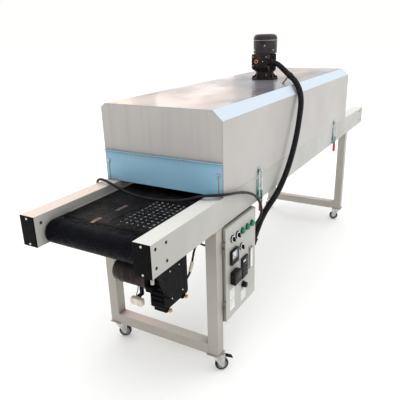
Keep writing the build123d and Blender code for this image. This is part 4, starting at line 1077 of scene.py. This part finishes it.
def make_blower():
    """Cast flange and ribbed neck, finned motor body, and the domed fan cowl with its rings and holes."""
    up = (0, 0, 1)
    flange = [(46, 0), (75.5, 0), (77, 1.5), (77, 7), (75, 9), (60, 10), (55, 13), (52.5, 18), (52, 22),
              (53.5, 23), (53.5, 27), (52, 28), (52, 42), (57, 44), (57, 46), (46, 46), (46, 0)]
    rib = ((51, 0), (70, 0), (52, 24), (51, 24))
    piece("blower_flange", cast_enamel, "hood", "motor_paint",
          [(add_lathe, (BLOWER_X, 0, HOOD_TOP + 0.3), up, flange, 72)]
          + [(add_prism, rib, fin_frame(level(22.5 + 45 * turn), (BLOWER_X, 0, HOOD_TOP + 9), 3.6), 3.6, 0.6)
             for turn in range(8)], ["blower_mount"])
    piece("blower_flange_bolts", satin_black, "hood", "black_paint",
          [(add_hex_bolt, (BLOWER_X + across, along, HOOD_TOP + 9), up, 12, 8)
           for across, along in circle(4, 66, 20)])
    trunk = [(44, 0), (60, 0), (62, 2), (62, 6), (57, 8), (57, 98), (65, 100), (66.5, 102), (66.5, 108),
             (44, 108), (44, 0)]
    fin = ((56, 0), (62.5, 0), (64.5, 4), (64.5, 88), (56, 90))
    fin_angles = [360 * turn / 44 for turn in range(44)]
    piece("blower_finned_body", cast_enamel, "hood", "motor_paint",
          [(add_lathe, (BLOWER_X, 0, 1206), up, trunk, 72)]
          + [(add_prism, fin, fin_frame(level(angle), (BLOWER_X, 0, 1212), 2.2), 2.2, 0.4)
             for angle in fin_angles if abs(180 - angle) >= 42], ["blower_motor"])
    height = COWL_Z[1] - COWL_Z[0]
    shell = [(66.8, 0), (68.3, 0), (68.5, 1.5), (67.7, 3), (67.7, 62), (68.5, 64), (68.5, 69), (65.6, 70),
             (65.6, 73), (68.5, 74)]
    for step in range(9):
        angle = math.radians(90 * step / 8)
        shell.append((44.5 + 24 * math.cos(angle), height - 24 + 24 * math.sin(angle)))
    shell += [(42, height), (40, height - 1.2), (38, height), (0, height), (0, height - 2), (43, height - 2),
              (66.8, height - 24), (66.8, 0)]
    piece("blower_fan_cowl", cowl_enamel, "hood", "motor_paint",
          [(add_lathe, (BLOWER_X, 0, COWL_Z[0]), up, shell, 80)], ["blower_cowl"])
    # Bright steel rings lie in the cowl's groove and round its rim.
    piece("cowl_bright_rings", bright, "hood", "bright_steel", [
        (add_ring, (BLOWER_X, 0, COWL_Z[0] + 71.5), up, 65.9, 1.3, 80),
        (add_ring, (BLOWER_X, 0, COWL_Z[0] + 1.2), up, 67.2, 1.0, 80),
    ])
    # Painted shade: black discs on the cowl's top stand in for the dark insides of its air holes.
    piece("cowl_air_holes", satin_black, "hood", "black_paint", [
        (add_rod, (BLOWER_X + across, along, COWL_Z[1] - 0.4), up, 3.1, 0.6, 0.2, 14)
        for reach, count in ((14, 6), (24, 10), (33, 14)) for across, along in circle(count, reach)
    ])
    screws = [
        (add_pan_screw, Vector((BLOWER_X, 0, z)) + level(angle) * 67.4, level(angle), 4.0)
        for angle, z in ((200, 1348), (245, 1324), (320, 1324), (60, 1324), (140, 1324))
    ]
    screws.append((add_pan_screw, (BLOWER_X - 44, -26, 1186), (-0.86, -0.5, 0), 4.2))
    piece("cowl_screws", bright, "hood", "bright_steel", screws)


def make_terminal_box():
    """Terminal box with a lid, the copper blanking ring, lid screws and the conduit's gland."""
    low, high = BOX_Z
    box = [(101, low), (73, low), (65, low + 10), (65, high - 2), (101, high - 2)]
    lid = [(66, low + 9), (59.5, low + 17), (59.5, high - 7), (66, high)]
    piece("blower_terminal_box", cast_enamel, "hood", "motor_paint", [
        (add_prism, box, Matrix.Translation((0, BOX_Y, 0)) @ FACING, 2 * BOX_Y, 2.5),
        (add_prism, lid, Matrix.Translation((0, BOX_Y + 1, 0)) @ FACING, 2 * BOX_Y + 2, 2.2),
        (add_box, (68, 96), (-40, 40), (high - 2, high + 1.5), 1.2),
    ], ["terminal_box"])
    piece("blanking_ring", copper, "hood", "brass",
          [(add_ring, (58.4, 20, 1262), (1, 0, 0), 8.6, 2.7, 40, 12)])
    piece("blanking_plug", satin_black, "hood", "black_paint",
          [(add_rod, (60.4, 20, 1262), (-1, 0, 0), 5.6, 1.6, 0.5)])
    piece("lid_screws", bright, "hood", "bright_steel",
          [(add_pan_screw, (59.8, y, z), (-1, 0, 0), 3.6)
           for y, z in ((-20, 1263), (-41, 1288), (41, 1288), (41, 1238))])
    gland = [(0, 0), (18, 0), (18.6, 0.8), (18.6, 6.5), (17.5, 7.5), (16.6, 7.6), (16.6, 9), (18.4, 9.6),
             (18.4, 16.5), (17.4, 17.6), (15.8, 17.8), (0, 17.8)]
    piece("conduit_gland", black_plastic, "hood", "black_plastic",
          [(add_lathe, (78, -BOX_Y, 1257), (0, -1, 0), gland, 96, teeth(12, 0.035))])


def make_conduit_clip():
    """P-clip that holds the conduit just above the hood, screwed down beside it."""
    points = points_along(CONDUIT_ROUTE, 0.002)
    middle = min(range(len(points)), key=lambda i: abs(points[i].z - CLIP_HEIGHT))
    centre, heading = points[middle] / MM, (points[middle + 1] - points[middle - 1]).normalized()
    foot = Vector((centre.x - 22, centre.y + 30, HOOD_TOP))
    under = centre + Vector((-10, 12, -12))
    band = [(15.9, 0), (17.2, 0), (17.2, 12), (15.9, 12), (15.9, 0)]
    stem = (under, under.lerp(foot, 0.5) + Vector((0, 0, -2)), foot + Vector((0, 0, 2)))
    piece("conduit_clip", black_plastic, "hood", "black_plastic", [
        (add_lathe, centre - heading * 6, heading, band, 36),
        (add_tube, stem, 3.2, 12),
        (add_rod, foot, (0, 0, 1), 8, 2, 0.4),
    ])
    piece("conduit_clip_screw", brass, "hood", "brass",
          [(add_hex_bolt, foot + Vector((0, 0, 2)), (0, 0, 1), 8, 4)])


make_blower()
make_terminal_box()
make_conduit_clip()


# ---------------------------------------------------------------- toggle latches

LATCH_Y = -311
LATCH_Z = 735
LATCH_PLATE = -302


def make_latch(place, x):
    """Red finger grip on the handle, rivets and screws on the base, nuts on the hook's rods."""
    grip = [(0, 0), (5.5, 0), (7.6, 1.5), (8.6, 5), (8.2, 10)]
    for ridge in range(5):
        start = 12 + 6 * ridge
        grip += [(8.1, start), (8.7, start + 1.5), (8.7, start + 3.5), (8.1, start + 5)]
    grip += [(8.2, 44), (9.4, 48), (9.4, 51), (8.2, 53), (0, 53)]
    piece(f"latch_grip_{place}", red_grip, f"{place}_latch_handle", "grip_red",
          [(add_lathe, (x, LATCH_Y, 641), (0, 0, 1), grip, 32)])
    hardware = []
    for side in (-1, 1):
        hardware += [(add_pan_screw, (x + side * 15, LATCH_PLATE, z), (0, -1, 0), 3.2) for z in (711, 788)]
        hardware.append((add_rod, (x + side * 8, LATCH_Y, LATCH_Z), (side, 0, 0), 4.2, 1.0, 0.4))
    piece(f"latch_screws_{place}", bright, "root", "bright_steel", hardware)
    piece(f"latch_ribs_{place}", zinc, "root", "zinc_plate",
          [(add_box, (x - 18, x + 18), (LATCH_PLATE - 2, LATCH_PLATE), (z, z + 10), 0.9) for z in (716, 752)])
    piece(f"latch_nuts_{place}", bright, f"{place}_latch_hook", "bright_steel",
          [(add_hex_bolt, (x + side * 16, LATCH_Y, z), (0, 0, 1), 7, 4, False)
           for side in (-1, 1) for z in (826, 756)])
    piece(f"catch_screws_{place}", bright, "hood", "bright_steel",
          [(add_pan_screw, (x + side * 6, LATCH_PLATE, 847), (0, -1, 0), 2.8) for side in (-1, 1)])


make_latch("front", -620)
make_latch("rear", 620)


# ---------------------------------------------------------------- control cabinet

DOOR_FACE = -314
DEVICE_BACK = -285
OUT = (0, -1, 0)
SELECTORS = {"left": (-918, 620), "centre": (-870, 620), "lower": (-832, 549)}
LAMPS = ((-822, 620), (-774, 620), (-726, 620))
METER = (-909, 537)
METER_SIZE = (64, 66)
NEEDLE_PIVOT = (METER[0] + 19, METER[1] - 14)
SCALE_FROM, SCALE_SPAN = 150, 58
CONTROLLER = (-909, 440)
DRIVE = (-805, 437)
SPEED_KNOB = (-815, 352)
CONTACTORS = ((-925, 45, 80), (-870, 45, 80), (-800, 70, 90), (-730, 40, 60))
CONTACTOR_Z = 488


def make_pilot_devices():
    """Rings, lenses and rear bodies of the three selectors and the three lamps."""
    bezels = []
    for x, z in (*SELECTORS.values(), *LAMPS):
        radius = 15 if (x, z) in LAMPS else 16.5
        ring = [(0, 0), (radius, 0), (radius, 2.6), (radius - 0.8, 4), (12.6, 4.2), (0, 4.2)]
        bezels += [
            (add_lathe, (x, DOOR_FACE, z), OUT, ring, 72, teeth(24, 0.02)),
            (add_rod, (x, DOOR_FACE + 1.5, z), (0, 1, 0), 13, 5, 0.6),
            (add_box, (x - 11, x + 11), (DOOR_FACE + 6, DOOR_FACE + 25), (z - 11, z + 11), 1.5),
        ]
    annulus = [(9, 0), (13.9, 0), (13.9, 1.6), (12.6, 2.8), (10, 2.9), (9, 2.2), (9, 0)]
    lens = [(0, 0), (13.6, 0), (13.6, 3.2)]
    for step in range(1, 10):
        angle = math.radians(90 * step / 9)
        lens.append((13.6 * math.cos(angle), 3.2 + 9.0 * math.sin(angle)))
    piece("pilot_bezels", black_plastic, "door", "black_plastic", bezels, ["pilot_devices"])
    piece("pilot_rings", chrome, "door", "bright_steel",
          [(add_lathe, (x, DOOR_FACE - 3.9, z), OUT, annulus, 64) for x, z in SELECTORS.values()])
    piece("pilot_lenses", lens_green(), "door", "lamp_green",
          [(add_lathe, (x, DOOR_FACE - 4, z), OUT, lens, 48) for x, z in LAMPS])


def make_selector(place, x, z):
    """A round knob with a tapered finger bar and a white pointer line."""
    knob = [(0, 0), (9.4, 0), (9.4, 3.5), (8.6, 5.2), (0, 5.4)]
    outline = [(-3.9, -10.6), (3.9, -10.6), (3.6, 7.0), (0, 10.8), (-3.6, 7.0)]
    piece(f"selector_{place}", black_plastic, f"{place}_selector", "black_plastic", [
        (add_lathe, (x, DOOR_FACE - 4.5, z), OUT, knob, 48),
        (add_prism, outline, Matrix.Translation((x, DOOR_FACE - 7, z)) @ FACING, 9, 1.4),
    ], [f"selector_knob_{place}"])
    piece(f"selector_line_{place}", white_plastic, f"{place}_selector", "white_plastic",
          [(add_box, (x - 0.7, x + 0.7), (DOOR_FACE - 16.4, DOOR_FACE - 15.9), (z, z + 8.5), 0.2, 1)])


def make_meter():
    """Panel meter: deep frame, printed card with a scale arc, clear pane and lower cover."""
    x, z = METER
    left, right = x - METER_SIZE[0] / 2, x + METER_SIZE[0] / 2
    low, high = z - METER_SIZE[1] / 2, z + METER_SIZE[1] / 2
    front, back, sill = DOOR_FACE - 12, DOOR_FACE, low + 20
    piece("meter_frame", black_plastic, "door", "black_plastic", [
        (add_box, (left, left + 5), (front, back), (low, high), 1.0),
        (add_box, (right - 5, right), (front, back), (low, high), 1.0),
        (add_box, (left + 5, right - 5), (front, back), (high - 5, high), 1.0),
        (add_box, (left + 5, right - 5), (front, back), (low, sill), 1.0),
        (add_box, (left + 3, right - 3), (front + 10, back), (low + 3, high - 3)),
        (add_box, (left + 9, right - 9), (front - 0.8, front + 1), (low + 4, sill - 4), 0.8),
        (add_rod, (x, back, z), (0, 1, 0), 26, 26, 2),
    ], ["ammeter_case"])
    piece("meter_card", dial_card, "door", "dial_white",
          [(add_box, (left + 5, right - 5), (front + 9.2, front + 10), (sill, high - 5), 0.1, 1)])
    piece("meter_window", clear_window, "door", "dial_white", [
        (add_box, (left + 4.6, right - 4.6), (front + 1.0, front + 1.8), (sill - 0.4, high - 4.6), 0.2, 1)])
    pivot = Vector((NEEDLE_PIVOT[0], front + 9.0, NEEDLE_PIVOT[1]))

    def on_scale(share, reach):
        angle = math.radians(SCALE_FROM - SCALE_SPAN * share)
        return pivot + Vector((math.cos(angle), 0, math.sin(angle))) * reach

    marks = []
    for step in range(17):
        long, thick = (2.8, 0.28) if step % 4 else (5, 0.45)
        marks.append((add_tube, (on_scale(step / 16, 31.5), on_scale(step / 16, 31.5 + long)), thick, 6))
    marks.append((add_tube, [on_scale(step / 24, 31.3) for step in range(25)], 0.35, 6))
    piece("meter_scale", ink_black, "door", "black_plastic", marks)


def make_controller():
    """Temperature controller: deep rounded case, recessed display and a row of keys."""
    x, z = CONTROLLER
    piece("controller_case", black_plastic, "door", "black_plastic", [
        (add_box, (x - 30, x + 30), (-336, DOOR_FACE), (z - 29, z + 29), 4.5, 4),
        (add_box, (x - 31, x + 31), (-339.5, -333), (z - 30, z + 30), 3.0, 3),
        (add_box, (x - 24, x + 24), (DOOR_FACE, DEVICE_BACK), (z - 22, z + 22), 2.0),
    ], ["temperature_controller"])
    piece("controller_display", gloss_black, "door", "black_plastic",
          [(add_box, (x - 25, x + 25), (-339.9, -338), (z - 6, z + 24), 0.8)])
    piece("controller_keys", key_grey, "door", "black_plastic", [
        (add_box, (left, left + 9.5), (-340, -338), (z - 22, z - 13), 1.2, 3)
        for left in (x - 24 + 12.6 * column for column in range(4))
    ])
    glow = []
    for row, size in ((z + 10, 9), (z - 3, 5)):
        for digit in range(4):
            left = x - 20 + 10.5 * digit
            for low in (row + size * bar / 2 - 0.4 for bar in range(3)):
                glow.append((add_box, (left, left + 5), (-340, -339.8), (low, low + 0.8)))
            for bar in (left, left + 5):
                glow.append((add_box, (bar - 0.4, bar + 0.4), (-340, -339.8), (row, row + size)))
    piece("controller_digits", digit_red, "door", "black_plastic", glow)


def make_drive():
    """Belt-speed controller: a tall case with a display, a membrane and keys."""
    x, z = DRIVE
    piece("drive_case", black_plastic, "door", "black_plastic", [
        (add_box, (x - 30, x + 30), (DOOR_FACE - 8, DOOR_FACE), (z - 51.5, z + 51.5), 2.0, 3),
        (add_box, (x - 24, x + 24), (DOOR_FACE, DEVICE_BACK), (z - 45, z + 45), 2.0),
    ], ["speed_controller"])
    piece("drive_panel", gloss_black, "door", "black_plastic", [
        (add_box, (x - 26, x + 26), (DOOR_FACE - 8.6, DOOR_FACE - 7.6), (z - 47, z + 20), 0.5),
        (add_box, (x - 24, x + 24), (DOOR_FACE - 8.8, DOOR_FACE - 7.6), (z + 24, z + 46), 0.8),
    ])
    piece("drive_display", label_film, "door", "dial_white",
          [(add_box, (x - 20, x + 2), (DOOR_FACE - 9.2, DOOR_FACE - 8.7), (z + 31, z + 39), 0.3, 1)])
    piece("drive_keys", key_grey, "door", "black_plastic", [
        (add_box, (left, left + 10), (DOOR_FACE - 9.6, DOOR_FACE - 8.5), (low, low + 8), 1.0, 3)
        for low in (z - 40, z - 22, z - 4) for left in (x - 20, x - 5.5, x + 9)
    ])


def make_speed_knob():
    """Fluted control knob with a skirt and a pointer dot."""
    x, z = SPEED_KNOB
    skirt = [(0, 0), (16, 0), (16, 1.5), (14.5, 3.4), (0, 3.6)]
    body = [(0, 0), (13.8, 0), (13.4, 2), (12.8, 14), (11.4, 17), (0, 17.6)]

    def flutes(angle):
        return 1 - 0.085 * max(0, math.cos(12 * angle)) ** 0.5

    piece("speed_control_knob", black_plastic, "dial_knob", "black_plastic", [
        (add_lathe, (x, DOOR_FACE - 0.5, z), OUT, skirt, 48),
        (add_lathe, (x, DOOR_FACE - 3.5, z), OUT, body, 144, flutes),
    ], ["speed_knob"])
    piece("speed_knob_dot", white_plastic, "dial_knob", "white_plastic",
          [(add_rod, (x, DOOR_FACE - 20.8, z + 8), OUT, 1.3, 0.7, 0.2, 16)])


def make_cabinet_details():
    """Blank labels and the seal on the door, the cabinet's screws and the contactors' faces."""
    piece("blank_labels", label_film, "door", "dial_white", [
        (add_box, x, (DOOR_FACE - 0.5, DOOR_FACE - 0.1), z, 0.15, 1)
        for x, z in (((-945, -900), (334, 383)), ((-945, -900), (280, 330)), ((-838, -786), (272, 322)))
    ])
    left, right, low, high = -974, -685, 248, 679
    piece("door_seal", seal_rubber, "door", "cable_rubber", [
        (add_box, x, (-304.5, -301.2), z, 0.8)
        for x, z in (((left, right), (low, low + 5)), ((left, right), (high - 5, high)),
                     ((left, left + 5), (low + 5, high - 5)), ((right - 5, right), (low + 5, high - 5)))
    ])
    screws = [(add_pan_screw, (x, -220, z), (0, 1, 0), 4) for x in (-960, -700) for z in (270, 660)]
    for x in (-930, -730):
        screws += [(add_pan_screw, (x + step, -262, z), (0, 0, -1), 3) for step, z in ((-16, 686), (16, 690))]
    piece("cabinet_screws", bright, "root", "bright_steel", screws)
    tops = []
    for x, width, height in CONTACTORS:
        inset_x, inset_z = width / 2 - 2, height / 2 - 14
        tops.append((add_box, (x - inset_x, x + inset_x), (-271, -267),
                     (CONTACTOR_Z - inset_z, CONTACTOR_Z + inset_z), 1))
        tops += [(add_pan_screw, (x + step * width, -268, CONTACTOR_Z + side * (height / 2 - 7)), OUT, 3.4)
                 for step in (-0.3, 0, 0.3) for side in (-1, 1)]
    piece("contactor_faces", black_plastic, "root", "black_plastic", tops)


make_pilot_devices()
for selector_place, (selector_x, selector_z) in SELECTORS.items():
    make_selector(selector_place, selector_x, selector_z)
make_meter()
make_controller()
make_drive()
make_speed_knob()
make_cabinet_details()


# ---------------------------------------------------------------- casters

TRAIL = 26
WHEEL_RADIUS = 31
LEGS_X = (-1009, 992)


def make_caster(name, x, y, angle):
    """Rounded rubber tread on a grey rim with spokes, and the axle's nuts."""
    ahead = level(angle)
    axle = Vector((-ahead.y, ahead.x, 0))
    hub = Vector((x, y, WHEEL_RADIUS)) + ahead * TRAIL
    tread = [(22, -9.5), (27, -10.5)]
    for step in range(9):
        lean = math.radians(-80 + 160 * step / 8)
        tread.append((25.5 + 5.5 * math.cos(lean), 11 * math.sin(lean) / math.sin(math.radians(80))))
    tread += [(27, 10.5), (22, 9.5), (22, -9.5)]
    piece(f"caster_tread_{name}", tyre_rubber, f"{name}_wheel", "wheel_rubber",
          [(add_lathe, hub, axle, tread, 64)], [f"caster_wheel_{name}"])
    near = [(4.4, -12.4), (9, -12.4), (9.6, -11.5), (10, -6), (18, -4.5), (20.5, -8.8), (22.4, -9.2)]
    rim = near + [(radius, -height) for radius, height in reversed(near)] + near[:1]
    spokes = []
    for across, up in circle(5, 1):
        reach = ahead * across + Vector((0, 0, up))
        spokes.append((add_tube, (hub + reach * 9, hub + reach * 20.5), (3.2, 2.4), 12))
    piece(f"caster_rim_{name}", rim_grey, f"{name}_wheel", "leg_powder_coat",
          [(add_lathe, hub, axle, rim, 56)] + spokes)
    piece(f"caster_nuts_{name}", bright, f"{name}_swivel", "bright_steel",
          [(add_hex_bolt, hub + axle * side * 15.5, axle * side, 9, 5) for side in (-1, 1)])
    piece(f"caster_plate_bolts_{name}", bright, "root", "bright_steel",
          [(add_hex_bolt, (x + across, y + along, 92), (0, 0, -1), 7, 4)
           for across in (-25, 25) for along in (-25, 25)])


def make_welds():
    """Weld beads where the cross tubes meet the legs and the legs meet their pads."""
    beads = []
    for x in LEGS_X:
        for side in (-1, 1):
            y = side * 250
            corners = [Vector(corner) for corner in (
                (x - 24, y, 144), (x - 24, y, 96), (x + 24, y, 96), (x + 24, y, 144), (x - 24, y, 144))]
            for start, end in zip(corners, corners[1:]):
                line = [start.lerp(end, step / 14) for step in range(15)]
                beads.append((add_tube, line, [1.5 + 0.5 * (step % 2) for step in range(15)], 8))
            for edge in (-25, 25):
                line = [(x - 24 + 3.2 * step, side * 275 + edge, 688.6) for step in range(16)]
                beads.append((add_tube, line, [1.4 + 0.5 * (step % 2) for step in range(16)], 8))
    piece("weld_beads", leg_coat, "root", "leg_powder_coat", beads)


def make_fitting_nuts():
    """Ribbed gland nuts on the cabinet's side, and the junction box's lid and screws on the far rail."""
    ribs = teeth(10, 0.05)
    lock_nut = [(0, 0), (11, 0), (11.4, 0.8), (11.4, 6), (10.4, 7), (0, 7)]
    cap_nut = [(0, 0), (8.6, 0), (8.8, 6), (7.2, 9.6), (0, 9.8)]
    cable_nut = [(0, 0), (12.4, 0), (12.8, 0.8), (12.8, 7), (11.4, 8), (0, 8)]
    nuts = []
    for z in (618, 645):
        nuts += [(add_lathe, (-679.5, -292, z), (1, 0, 0), lock_nut, 80, ribs),
                 (add_lathe, (-666, -292, z), (1, 0, 0), cap_nut, 80, ribs)]
    nuts.append((add_lathe, (-679.5, -294, 568), (1, 0, 0), cable_nut, 80, ribs))
    piece("gland_nuts", black_plastic, "root", "black_plastic", nuts)
    piece("junction_lid", black_plastic, "root", "black_plastic",
          [(add_box, (-912, -828), (339, 340.2), (738, 788), 0.6)])
    piece("junction_screws", bright, "root", "bright_steel",
          [(add_pan_screw, (x, 340.2, z), (0, 1, 0), 3) for x in (-906, -834) for z in (744, 782)])


make_caster("front_near", LEGS_X[0], -275, -45)
make_caster("front_far", LEGS_X[0], 275, -60)
make_caster("rear_near", LEGS_X[1], -275, 100)
make_caster("rear_far", LEGS_X[1], 275, 80)
make_welds()
make_fitting_nuts()


# ---------------------------------------------------------------- closing

bpy.context.view_layer.update()
